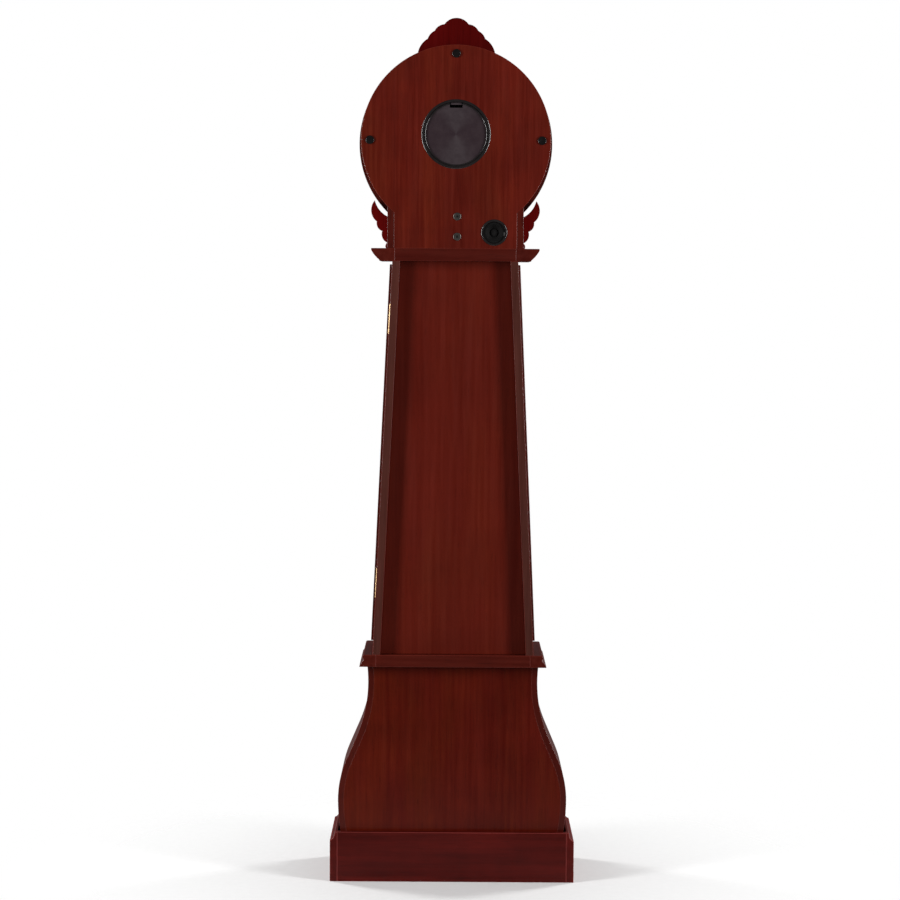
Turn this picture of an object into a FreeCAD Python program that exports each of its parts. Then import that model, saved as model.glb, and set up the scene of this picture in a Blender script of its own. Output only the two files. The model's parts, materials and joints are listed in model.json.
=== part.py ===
"""Longcase clock with a waisted, glazed trunk: a FreeCAD 1.1 macro in millimetres.

The clock stands on z = 0.  +X is the hinge side of the trunk door, -Y is the front and
+Z is up; the origin lies under the middle of the plinth.  Distances from the wall are
given as depths, counted forward from the back plane of the case.
"""
import FreeCAD, Part
import math
import os
import re
import Sketcher

vec = FreeCAD.Vector

SIZES = {
    # Case stages, from the floor up.
    "plinth_height": 104, "base_rise": 346, "sill_height": 25, "trunk_rise": 815,
    "cornice_height": 26, "hood_clear": 26.5, "hood_radius": 194.5, "crest_height": 68.5,
    # Depth of the plinth over its bumpers, and the steps between the stages' fronts.
    "plinth_depth": 251, "base_step": 29, "sill_step": 15, "trunk_step": 57, "hood_step": 5,
    "cornice_step": 49,
    # Boards and panels.
    "board": 16, "rail_thick": 15.4, "bent_board": 12, "panel": 6, "hood_board": 15,
    # Small flat step that starts a moulding, and how far a cutting tool overruns its piece.
    "quirk": 2, "over": 1,
    # Plinth.
    "plinth_half": 254, "plinth_flat": 87, "plinth_lip": 5, "block_height": 60, "block_side": 40,
    # Base: a concave neck that runs through a straight into a full belly.
    "base_neck_half": 175.8, "base_neck_drop": 33, "base_neck_radius": 291, "belly_step": 16,
    "belly_rise": 65, "belly_radius": 211, "belly_foot_radius": 372, "base_set_in": 17,
    # Sill moulding round the foot of the trunk.
    "sill_reach": 18.2, "sill_let_in": 15.8, "sill_slope": 15, "sill_taper": 13, "sill_bead": 4,
    # Tapering trunk and its panels.
    "trunk_let_in": 9.1, "trunk_half_high": 129.4, "trunk_panel_set_in": 21,
    "threshold_height": 37, "head_height": 28,
    # Door, its glass and the beads that hold it.
    "door_gap": 1, "door_thick": 20, "door_lap": 8.5, "door_low_gap": 9, "door_high_gap": 6,
    "stile_width": 40, "door_rail_low": 62, "door_rail_high": 46, "rebate_width": 8,
    "rebate_depth": 9, "glass_thick": 3, "glass_play": 0.5, "bead_set_back": 1,
    "knob_rise": 438, "knob_radius": 10, "knob_length": 25, "knob_neck": 4.5, "knob_base": 9,
    "knob_rose": 2,
    # Butt hinges of the door.
    "hinge_low_rise": 123, "hinge_high_rise": 685, "hinge_length": 60, "hinge_stand": 2.8,
    "knuckle_radius": 2.5, "knuckle_gap": 0.15, "hinge_pin_radius": 1.2, "pin_play": 0.05,
    "leaf_width": 12, "leaf_thick": 1.5, "leaf_play": 0.1, "notch_radius": 3.2, "pin_head": 1.5,
    # Magnetic catch.
    "catch_width": 12, "catch_depth": 14, "catch_height": 44,
    # Cornice moulding between trunk and hood.
    "cornice_reach": 43.6, "cornice_let_in": 4.7, "cornice_reach_low": 31.5, "cornice_lip": 4,
    "seat_thick": 12, "seat_slot_half": 45, "seat_slot_room": 25,
    # Hood.
    "neck_reach": 10.4, "neck_board": 13.6, "drum_wall": 14, "hood_panel": 9,
    "dial_border": 29.5, "bezel_reach": 8.5, "bezel_lap": 7, "bezel_depth": 20,
    "bezel_round": 14, "bezel_cove": 10, "bezel_bead": 2, "glass_lap": 3,
    "crest_share": 0.4242, "crest_foot_step": 1.9, "ear_reach": 38, "ear_rise": 102,
    # Dial, hands and their glass.
    "dial_clear": 4.5, "dial_thick": 3, "trim_ring": 3, "hour_share": 0.485,
    "minute_share": 0.715, "hour_angle": 305, "minute_angle": 60, "hand_thick": 1.2,
    "hour_width": 22, "minute_width": 18, "hour_hub": 6, "minute_hub": 5,
    # Clock movement and its wheel train.
    "movement_half_width": 48, "movement_half_height": 35, "movement_depth": 24,
    "movement_wall": 1.5, "wheel_room": 3, "cover_lap": 3, "bush_radius": 4, "bush_length": 8,
    "nut_radius": 8, "nut_thick": 3.5, "arbor_radius": 1, "tube_radius": 2, "pivot_play": 0.05,
    "end_play": 0.3, "gear_module": 0.4, "centre_teeth": 15, "idler_teeth": 45,
    "pinion_teeth": 12, "hour_teeth": 48, "gear_thick": 2, "gear_backlash": 0.1,
    "first_train": 8, "second_train": 13, "arbor_proud": 8, "tube_proud": 3.5, "hour_seat": 2,
    "minute_seat": 1, "set_knob_radius": 8, "set_knob_length": 9, "set_knob_gap": 1,
    "set_knob_socket": 2, "battery_radius": 7.25, "battery_length": 50.5, "battery_offset": 34,
    "battery_play": 0.4, "switch_rise": -29, "switch_reach": 10.3, "switch_travel": 5,
    "switch_length": 6, "switch_height": 4.4, "switch_depth": 4, "switch_stem": 3,
    "switch_shoulder": 1, "switch_play": 0.3,
    # Pendulum.
    "pivot_room": 1, "pivot_radius": 1.25, "post_proud": 2, "post_cap": 1.5,
    "leader_length": 70, "leader_width": 10, "leader_thick": 2, "leader_gap": 1, "rod_lap": 20,
    "rod_length": 600, "rod_width": 12, "rod_thick": 5, "rod_tail": 6, "bob_radius": 52,
    "bob_dome": 9, "bob_rim": 7, "nut_length": 12,
    # Fittings on the back of the hood.
    "port_rise": 12.5, "port_radius": 65.8, "port_flange": 71, "port_wall": 1.7,
    "port_lip": 4, "port_proud": 1, "port_shelf": 2, "cover_play": 0.3, "cover_thick": 3,
    "cover_dish": 5, "cover_rim": 1.5, "tab_half": 12.3, "tab_drop": 14, "tab_depth": 1,
    "speaker_x": -79.5, "speaker_rise": 33, "speaker_radius": 27, "speaker_bore": 24,
    "speaker_proud": 1.5, "speaker_wall": 2, "speaker_depth": 30, "speaker_magnet": 14,
    "magnet_depth": 8, "surround_roll": 3, "cone_apex": 15, "cone_thick": 2,
    "bolt_x": -3.3, "bolt_low_rise": 24.2, "bolt_high_rise": 65.4, "bolt_head": 8.2,
    "bolt_proud": 1.5, "bolt_round": 1, "bolt_radius": 3, "bolt_length": 28, "block_half": 21,
    "block_depth": 25, "block_low": 8, "block_above": 15, "bumper_radius": 8.8,
    "bumper_proud": 3, "bumper_round": 1.5, "bumper_inset": 18,
}

# Sizes that follow from others, so that the fits hold when a driving size changes.
DERIVED = {
    "base_depth": "plinth_depth - base_step",
    "sill_depth": "base_depth + sill_step",
    "trunk_depth": "base_depth - trunk_step",
    "hood_depth": "trunk_depth - hood_step",
    "cornice_depth": "hood_depth + cornice_step",
    "belly_half": "plinth_half - belly_step",
    "belly_level": "plinth_height + belly_rise",
    "base_neck_level": "plinth_height + base_rise - base_neck_drop",
    "sill_half": "base_neck_half + sill_reach",
    "sill_inner_half": "base_neck_half - sill_let_in",
    "trunk_half_low": "base_neck_half - trunk_let_in",
    "cornice_half": "trunk_half_high + cornice_reach",
    "cornice_inner_half": "trunk_half_high - cornice_let_in",
    "neck_half": "trunk_half_high + neck_reach",
    "neck_rise": "hood_radius + hood_clear",
    "crest_rise": "hood_radius + crest_height",
    "crest_foot_half": "crest_share * hood_radius",
    "crest_half": "crest_foot_half - crest_foot_step",
    "dial_opening": "hood_radius - dial_border",
    "glass_seat": "dial_opening + glass_lap",
    "bezel_radius": "hood_radius + bezel_reach",
    "bezel_opening": "dial_opening - bezel_lap",
    "dial_radius": "hood_radius - drum_wall - dial_clear",
    "hour_length": "hour_share * dial_opening",
    "minute_length": "minute_share * dial_opening",
    "chamber_half": "gear_module * (hour_teeth / 2 + 1) + wheel_room",
    "chamber_down": "gear_module * (hour_teeth / 2 + 1) + wheel_room",
    "chamber_up": "gear_module * (centre_teeth / 2 + idler_teeth + 1) + wheel_room",
    "pivot_drop": "chamber_down + cover_lap + leader_width / 2 + pivot_room",
}

doc = FreeCAD.newDocument("LongcaseClock")
sheet = doc.addObject("Spreadsheet::Sheet", "Sizes")
cells = {**SIZES, **{name: f"={formula}" for name, formula in DERIVED.items()}}
for row, (alias, content) in enumerate(cells.items(), start=1):
    sheet.set(f"A{row}", alias)
    sheet.set(f"B{row}", str(content))
    sheet.setAlias(f"B{row}", alias)
doc.recompute()

pieces = []


# ---------------------------------------------------------------- expressions

def bound(text):
    """Turn a formula in size names into an expression on the sheet."""
    def qualify(word):
        return "Sizes." + word.group() if word.group() in cells else word.group()
    return re.sub(r"[a-z]\w*", qualify, str(text))


def value(text):
    """Work out a formula in size names as a plain number."""
    result = sheet.evalExpression(bound(text))
    return float(getattr(result, "Value", result))


def tie(thing, path, formula):
    """Bind one property of an object to a formula in size names."""
    thing.setExpression(path, bound(formula))


BACK = "(plinth_depth - bumper_proud) / 2"
SILL_LOW = "(plinth_height + base_rise)"
SILL_TOP = f"({SILL_LOW} + sill_height)"
CORNICE_LOW = f"({SILL_TOP} + trunk_rise)"
CORNICE_TOP = f"({CORNICE_LOW} + cornice_height)"
DIAL_Z = f"({CORNICE_TOP} + neck_rise)"
DOOR_BACK = "(trunk_depth + door_gap)"
DOOR_FRONT = f"({DOOR_BACK} + door_thick)"
DOOR_LOW = f"({SILL_TOP} + door_low_gap)"
DOOR_TOP = f"({CORNICE_LOW} - door_high_gap)"
TAPER = "((trunk_half_low - trunk_half_high) / trunk_rise)"
TAPER_ANGLE = f"atan({TAPER})"
DIAL_FACE = "(hood_depth - hood_board)"
MOVEMENT_FRONT = f"({DIAL_FACE} - dial_thick)"
MOVEMENT_BACK = f"({MOVEMENT_FRONT} - movement_depth)"
ROD_DEPTH = f"({MOVEMENT_BACK} - leader_gap - leader_thick - rod_thick / 2)"
IDLER_RISE = "(gear_module * (centre_teeth + idler_teeth) / 2)"
PIVOT_Z = f"({DIAL_Z} - pivot_drop)"


def at_depth(depth):
    """Y of a plane that lies a given depth forward of the case's back."""
    return f"({BACK} - ({depth}))"


def trunk_half(level):
    """Half width of the trunk's outside at a height."""
    return f"(trunk_half_low - {TAPER} * (({level}) - {SILL_TOP}))"


def door_half(level):
    """Half width of the door at a height."""
    return f"({trunk_half(level)} + door_lap)"


# ------------------------------------------------------------ shape functions

def keep(thing):
    """Take a finished sub-part into the list that is written out."""
    pieces.append(thing)
    return thing


def sketch_on(body, role, name, shift=("0", "0", "0")):
    """Open a sketch on one of a body's origin planes, shifted in the sketch's own axes."""
    sketch = body.newObject("Sketcher::SketchObject", name)
    plane = next(item for item in body.Origin.OriginFeatures if item.Role == role)
    sketch.AttachmentSupport = [(plane, "")]
    sketch.MapMode = "FlatFace"
    for axis, formula in zip("xyz", shift):
        tie(sketch, f"AttachmentOffset.Base.{axis}", formula)
    return sketch


def pin_point(sketch, geometry, end, x, y):
    """Tie a sketch point to two formulas, measured from the sketch's origin."""
    for kind, formula in (("DistanceX", x), ("DistanceY", y)):
        index = sketch.addConstraint(
            Sketcher.Constraint(kind, -1, 1, geometry, end, value(formula)))
        if any(word in cells for word in re.findall(r"[a-z]\w*", str(formula))):
            tie(sketch, f"Constraints[{index}]", formula)


def arc_through(first, middle, last):
    """Arc through three points, and whether it starts at the last of them."""
    circle = Part.Circle(first, middle, last)
    turn = (middle - first).cross(last - middle).z
    start, end = (first, last) if turn > 0 else (last, first)
    angles = [math.atan2(p.y - circle.Center.y, p.x - circle.Center.x) for p in (start, end)]
    if angles[1] < angles[0]:
        angles[1] += 2 * math.pi
    plain = Part.Circle(circle.Center, vec(0, 0, 1), circle.Radius)
    return Part.ArcOfCircle(plain, *angles), turn < 0


def draw_outline(sketch, corners):
    """Draw a closed outline; a corner with four values starts an arc through the last two."""
    points = [vec(value(c[0]), value(c[1]), 0) for c in corners]
    ends = []
    for index, corner in enumerate(corners):
        here, there = points[index], points[(index + 1) % len(points)]
        if len(corner) == 4:
            middle = vec(value(corner[2]), value(corner[3]), 0)
            arc, flipped = arc_through(here, middle, there)
            edge = sketch.addGeometry(arc, False)
            marker = sketch.addGeometry(Part.Point(middle), True)
            sketch.addConstraint(Sketcher.Constraint("PointOnObject", marker, 1, edge))
            pin_point(sketch, marker, 1, corner[2], corner[3])
        else:
            flipped = False
            edge = sketch.addGeometry(Part.LineSegment(here, there), False)
        ends.append((edge, 2, 1) if flipped else (edge, 1, 2))
    for index, (edge, start, _) in enumerate(ends):
        before, _, before_end = ends[index - 1]
        sketch.addConstraint(Sketcher.Constraint("Coincident", before, before_end, edge, start))
        pin_point(sketch, edge, start, corners[index][0], corners[index][1])


def draw_circle(sketch, x, y, radius):
    """Draw a circle whose centre and radius are formulas."""
    circle = Part.Circle(vec(value(x), value(y), 0), vec(0, 0, 1), value(radius))
    edge = sketch.addGeometry(circle, False)
    pin_point(sketch, edge, 3, x, y)
    index = sketch.addConstraint(Sketcher.Constraint("Radius", edge, value(radius)))
    tie(sketch, f"Constraints[{index}]", radius)


def new_body(label):
    """Start an empty PartDesign body."""
    body = doc.addObject("PartDesign::Body", label)
    body.Label = label
    return body


def plate(label, corners, depth, thick):
    """Flat piece with an outline in X and Z that runs forward from a depth."""
    body = new_body(label)
    sketch = sketch_on(body, "XZ_Plane", label + "_outline", ("0", "0", f"-{at_depth(depth)}"))
    draw_outline(sketch, corners)
    pad = body.newObject("PartDesign::Pad", label + "_pad")
    pad.Profile = sketch
    tie(pad, "Length", thick)
    return body


def cross_rail(label, corners, half_length):
    """Piece with a profile in Y and Z that runs along X, both ways from the middle."""
    body = new_body(label)
    sketch = sketch_on(body, "YZ_Plane", label + "_profile")
    draw_outline(sketch, corners)
    pad = body.newObject("PartDesign::Pad", label + "_pad")
    pad.Profile = sketch
    pad.Midplane = True
    tie(pad, "Length", f"2 * ({half_length})")
    return body


def turned(label, profile, x="0", z=DIAL_Z):
    """Round piece about an axis along Y; the profile is given as depths and radii."""
    body = new_body(label)
    sketch = sketch_on(body, "YZ_Plane", label + "_profile", ("0", z, x))
    corners = []
    for corner in profile:
        turned_corner = [at_depth(corner[0]), corner[1]]
        if len(corner) == 4:
            turned_corner += [at_depth(corner[2]), corner[3]]
        corners.append(tuple(turned_corner))
    draw_outline(sketch, corners)
    turn = body.newObject("PartDesign::Revolution", label + "_turn")
    turn.Profile = sketch
    turn.ReferenceAxis = (sketch, ["H_Axis"])
    turn.Angle = 360
    return body


def drill(body, x, z, radius):
    """Cut a round hole right through a body along Y."""
    number = len(body.Group)
    sketch = sketch_on(body, "XZ_Plane", f"{body.Name}_hole{number}")
    draw_circle(sketch, x, z, radius)
    pocket = body.newObject("PartDesign::Pocket", f"{body.Name}_drilled{number}")
    pocket.Profile = sketch
    pocket.Type = "ThroughAll"
    pocket.Midplane = True


def recess(body, corners, depth, length):
    """Cut an outline in X and Z out of a body, forward from a depth."""
    number = len(body.Group)
    sketch = sketch_on(body, "XZ_Plane", f"{body.Name}_recess{number}",
                       ("0", "0", f"-{at_depth(depth)}"))
    draw_outline(sketch, corners)
    pocket = body.newObject("PartDesign::Pocket", f"{body.Name}_cut{number}")
    pocket.Profile = sketch
    pocket.Reversed = True
    tie(pocket, "Length", length)


def block(label, x, depth, z):
    """Rectangular piece between pairs of limits along X, depth and Z."""
    box = doc.addObject("Part::Box", label)
    box.Label = label
    for name, (low, high) in (("Length", x), ("Width", depth), ("Height", z)):
        tie(box, name, f"({high}) - ({low})")
    for axis, formula in zip("xyz", (x[0], at_depth(depth[1]), z[0])):
        tie(box, f"Placement.Base.{axis}", formula)
    return box


def rod_along_y(label, radius, depth, x="0", z=DIAL_Z):
    """Round rod along Y between two depths."""
    rod = doc.addObject("Part::Cylinder", label)
    rod.Label = label
    rod.Placement = FreeCAD.Placement(vec(0, 0, 0), FreeCAD.Rotation(vec(1, 0, 0), -90))
    tie(rod, "Radius", radius)
    tie(rod, "Height", f"({depth[1]}) - ({depth[0]})")
    for axis, formula in zip("xyz", (x, at_depth(depth[1]), z)):
        tie(rod, f"Placement.Base.{axis}", formula)
    return rod


def upright_rod(label, radius, x, depth, z):
    """Round rod along Z between two heights."""
    rod = doc.addObject("Part::Cylinder", label)
    rod.Label = label
    tie(rod, "Radius", radius)
    tie(rod, "Height", f"({z[1]}) - ({z[0]})")
    for axis, formula in zip("xyz", (x, at_depth(depth), z[0])):
        tie(rod, f"Placement.Base.{axis}", formula)
    return rod


def cut(label, base, *tools):
    """Base piece less one or more tools."""
    result = doc.addObject("Part::Cut", label)
    result.Label = label
    result.Base = base
    result.Tool = tools[0] if len(tools) == 1 else group(label + "_tools", *tools)
    return result


def join(label, *parts):
    """Several shapes made into one solid."""
    result = doc.addObject("Part::MultiFuse", label)
    result.Label = label
    result.Shapes = list(parts)
    result.Refine = True
    return result


def group(label, *solids):
    """Separate solids kept together under one name."""
    result = doc.addObject("Part::Compound", label)
    result.Label = label
    result.Links = list(solids)
    return result


def mirrored(source, label):
    """The same piece on the other side of the middle plane."""
    result = doc.addObject("Part::Mirroring", label)
    result.Label = label
    result.Source = source
    result.Normal = vec(1, 0, 0)
    return result


def pair(label, side_piece):
    """A piece on the +X side together with its mirror image."""
    return group(label, side_piece, mirrored(side_piece, label + "_opposite"))


def rectangle(x_low, x_high, z_low, z_high):
    """Corners of a rectangle."""
    return [(x_low, z_low), (x_high, z_low), (x_high, z_high), (x_low, z_high)]


# --------------------------------------------------- mouldings on three sides

def moulding_front(label, profile, inner_half, front_depth, reach):
    """Front length of a mitred moulding; the profile is (outward, height) pairs."""
    inner = f"({front_depth} - ({reach}))"
    corners = [(at_depth(f"{inner} + ({c[0]})"), c[1]) if len(c) == 2 else
               (at_depth(f"{inner} + ({c[0]})"), c[1], at_depth(f"{inner} + ({c[2]})"), c[3])
               for c in profile]
    body = cross_rail(label, corners, f"{inner_half} + ({reach})")
    mitre = sketch_on(body, "XY_Plane", label + "_mitre")
    draw_outline(mitre, [(f"{inner_half}", at_depth(inner)),
                         (f"{inner_half} + 2 * ({reach})", at_depth(f"{inner} + 2 * ({reach})")),
                         (f"{inner_half} + 2 * ({reach})", at_depth(inner))])
    cut_end = body.newObject("PartDesign::Pocket", label + "_mitre_cut")
    cut_end.Profile = mitre
    cut_end.Type = "ThroughAll"
    cut_end.Midplane = True
    both = body.newObject("PartDesign::Mirrored", label + "_both_mitres")
    both.Originals = [cut_end]
    both.MirrorPlane = (next(item for item in body.Origin.OriginFeatures
                             if item.Role == "YZ_Plane"), [""])
    body.Tip = both
    return body


def moulding_side(label, profile, inner_half, front_depth, reach):
    """Side length of the same moulding on the +X side, mitred at the front."""
    corners = [(f"{inner_half} + ({c[0]})", c[1]) if len(c) == 2 else
               (f"{inner_half} + ({c[0]})", c[1], f"{inner_half} + ({c[2]})", c[3])
               for c in profile]
    body = plate(label, corners, "0", front_depth)
    mitre = sketch_on(body, "XY_Plane", label + "_mitre")
    inner = f"({front_depth} - ({reach}))"
    draw_outline(mitre, [(f"{inner_half}", at_depth(inner)),
                         (f"{inner_half} + 2 * ({reach})", at_depth(f"{inner} + 2 * ({reach})")),
                         (f"{inner_half}", at_depth(f"{inner} + 2 * ({reach})"))])
    cut_end = body.newObject("PartDesign::Pocket", label + "_mitre_cut")
    cut_end.Profile = mitre
    cut_end.Type = "ThroughAll"
    cut_end.Midplane = True
    return body


def three_sided_moulding(name, profile, inner_half, front_depth, reach, words):
    """Front and side lengths of one moulding, kept as two nodes."""
    keep(moulding_front(f"{name}_front_{words[0]}", profile, inner_half, front_depth, reach))
    side = moulding_side(f"{name}_side", profile, inner_half, front_depth, reach)
    keep(pair(f"{name}_side_{words[1]}", side))


# ----------------------------------------------------------------- the plinth

def build_plinth():
    """Mitred frame with a moulded top edge, and the blocks that carry the case."""
    inner_half = "(plinth_half - rail_thick)"
    profile = [("0", "0"), ("rail_thick", "0"), ("rail_thick", "plinth_flat"),
               ("rail_thick - quirk", "plinth_flat", "plinth_lip + quirk",
                "(plinth_flat + plinth_height - quirk) / 2"),
               ("plinth_lip", "plinth_height - quirk"), ("plinth_lip", "plinth_height"),
               ("0", "plinth_height")]
    three_sided_moulding("plinth", profile, inner_half, "plinth_depth", "rail_thick",
                         ("rail", "rails"))
    keep(block("plinth_back_rail", (f"-{inner_half}", inner_half), ("0", "rail_thick"),
               ("0", "plinth_height")))
    blocks = []
    front = "(plinth_depth - rail_thick)"
    for name, depth in (("rear", ("rail_thick", "rail_thick + block_side")),
                        ("front", (f"{front} - block_side", front))):
        corner = block(f"{name}_corner_block", (f"{inner_half} - block_side", inner_half), depth,
                       ("0", "block_height"))
        blocks += [corner, mirrored(corner, f"{name}_corner_block_opposite")]
    keep(group("plinth_corner_blocks", *blocks))


# ------------------------------------------------------------------- the base

def base_tangents(offset):
    """Points of the base's outline on +X, moved inward by an offset.

    The neck arc and the belly arc share an inside tangent, so the straight between them
    starts and ends where that tangent touches the two circles.
    """
    neck_radius = f"(base_neck_radius + ({offset}))"
    belly_radius = f"(belly_radius - ({offset}))"
    neck_x = "(base_neck_half + base_neck_radius)"
    belly_x = "(belly_half - belly_radius)"
    run = f"({neck_x} - {belly_x})"
    rise = "(base_neck_level - belly_level)"
    reach = f"sqrt(({run})^2 + ({rise})^2)"
    angle = f"(atan({rise} / {run}) - acos((base_neck_radius + belly_radius) / {reach}))"
    foot_x = "(belly_half - belly_foot_radius)"
    foot_radius = f"(belly_foot_radius - ({offset}))"

    def neck_at(level):
        return f"({neck_x} - sqrt({neck_radius}^2 - (({level}) - base_neck_level)^2))"

    def foot_at(level):
        return f"({foot_x} + sqrt({foot_radius}^2 - (({level}) - belly_level)^2))"

    neck_touch = (f"({neck_x} - {neck_radius} * cos({angle}))",
                  f"(base_neck_level - {neck_radius} * sin({angle}))")
    belly_touch = (f"({belly_x} + {belly_radius} * cos({angle}))",
                   f"(belly_level + {belly_radius} * sin({angle}))")
    half_angle = f"({angle} / 2)"
    neck_middle = f"(base_neck_level - {neck_radius} * sin({half_angle}))"
    foot_middle = "((belly_level + block_height) / 2)"
    return [
        (neck_at(SILL_LOW), SILL_LOW, neck_at(neck_middle), neck_middle),
        neck_touch,
        (*belly_touch, f"({belly_x} + {belly_radius} * cos({half_angle}))",
         f"(belly_level + {belly_radius} * sin({half_angle}))"),
        (f"(belly_half - ({offset}))", "belly_level", foot_at(foot_middle), foot_middle),
        (foot_at("block_height"), "block_height"),
    ]


def turned_back(points):
    """The same run of corners walked the other way, with each arc kept on its edge."""
    result = []
    for index in range(len(points) - 1, -1, -1):
        before = points[index - 1] if index > 0 else ()
        result.append((*points[index][:2], *before[2:4]))
    return result


def negated(points):
    """Corners mirrored to the -X side."""
    return [tuple(f"-{c}" if place % 2 == 0 else c for place, c in enumerate(point))
            for point in points]


def base_outline(offset):
    """Closed outline of the whole base, walked down the +X side and up the other."""
    side = base_tangents(offset)
    return side + turned_back(negated(side))


def build_base():
    """Two bent sides, a front panel laid over them and a back panel let in between."""
    front = "(base_depth - bent_board)"
    keep(plate("base_front_panel", base_outline("0"), front, "bent_board"))
    keep(plate("base_back_panel", base_outline("bent_board"), "base_set_in", "panel"))
    side = plate("base_side", base_tangents("0") + turned_back(base_tangents("bent_board")),
                 "base_set_in", f"{front} - base_set_in")
    keep(pair("base_sides", side))


# ------------------------------------------------------------------- the sill

def build_sill():
    """Sloping moulding with a bead, a back rail and the board that closes the base."""
    reach = "(sill_half - sill_inner_half)"
    shoulder = f"({SILL_LOW} + sill_slope)"
    top_reach = f"({reach} - sill_taper)"
    profile = [("0", SILL_LOW), (reach, SILL_LOW), (reach, f"{SILL_LOW} + quirk"),
               (f"{top_reach} + sill_bead", shoulder),
               (f"{top_reach} + sill_bead", f"{SILL_TOP} - 2 * sill_bead",
                f"{top_reach} + 1.6 * sill_bead", f"{SILL_TOP} - sill_bead"),
               (f"{top_reach} + sill_bead", SILL_TOP), ("0", SILL_TOP)]
    three_sided_moulding("sill", profile, "sill_inner_half", "sill_depth", reach,
                         ("moulding", "mouldings"))
    keep(block("sill_back_rail", ("-sill_inner_half", "sill_inner_half"), ("0", "board"),
               (SILL_LOW, SILL_TOP)))
    keep(block("sill_board", ("-sill_inner_half", "sill_inner_half"),
               ("board", f"sill_depth - {reach}"), (f"{SILL_TOP} - bent_board", SILL_TOP)))


# ------------------------------------------------------------------ the trunk

def leaning_strip(outer, inner, low, high):
    """Corners of a strip on the +X side whose two long edges lean with the trunk."""
    return [(outer(low), low), (outer(high), high), (inner(high), high), (inner(low), low)]


def inner_half(level):
    """Half width between the trunk's two sides at a height."""
    return f"({trunk_half(level)} - board)"


def cross_piece(low, high, half=inner_half, play="0"):
    """Corners of a piece that spans the taper between two heights."""
    return [(f"-({half(low)} - {play})", low), (f"{half(low)} - {play}", low),
            (f"{half(high)} - {play}", high), (f"-({half(high)} - {play})", high)]


def build_trunk(hinge_beds):
    """Leaning sides with hinge beds, the back panel and the rails behind the door."""
    strip = leaning_strip(trunk_half, inner_half, SILL_TOP, CORNICE_LOW)
    right = plate("hinge_side_board", strip, "0", "trunk_depth")
    plain = plate("plain_side_board", strip, "0", "trunk_depth")
    keep(group("trunk_sides", cut("hinge_side", right, *hinge_beds),
               mirrored(plain, "plain_side")))
    keep(plate("trunk_back_panel", cross_piece(SILL_TOP, CORNICE_LOW), "trunk_panel_set_in",
               "panel"))
    threshold = plate("threshold_rail", cross_piece(SILL_TOP, f"{SILL_TOP} + threshold_height"),
                      "trunk_depth - board", "board")
    head = plate("head_rail", cross_piece(f"{CORNICE_LOW} - head_height", CORNICE_LOW),
                 "trunk_depth - board", "board")
    keep(group("trunk_front_rails", threshold, head))
    latch = f"({DOOR_LOW} + knob_rise)"
    top, bottom = f"({latch} + catch_height / 2)", f"({latch} - catch_height / 2)"

    def catch_inner(level):
        return f"({inner_half(level)} - catch_width)"

    catch = plate("catch_body", leaning_strip(inner_half, catch_inner, bottom, top),
                  "trunk_depth - catch_depth", "catch_depth")
    keep(mirrored(catch, "magnetic_catch"))


# ------------------------------------------------------------------- the door

def stile_inner(level):
    """Inner edge of a door stile at a height."""
    return f"({door_half(level)} - stile_width)"


def rebate_edge(level):
    """Outer edge of the glass rebate at a height."""
    return f"({stile_inner(level)} + rebate_width)"


def glass_half(level):
    """Half width of the glass, which has a little play in its rebate."""
    return f"({rebate_edge(level)} - glass_play)"


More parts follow.
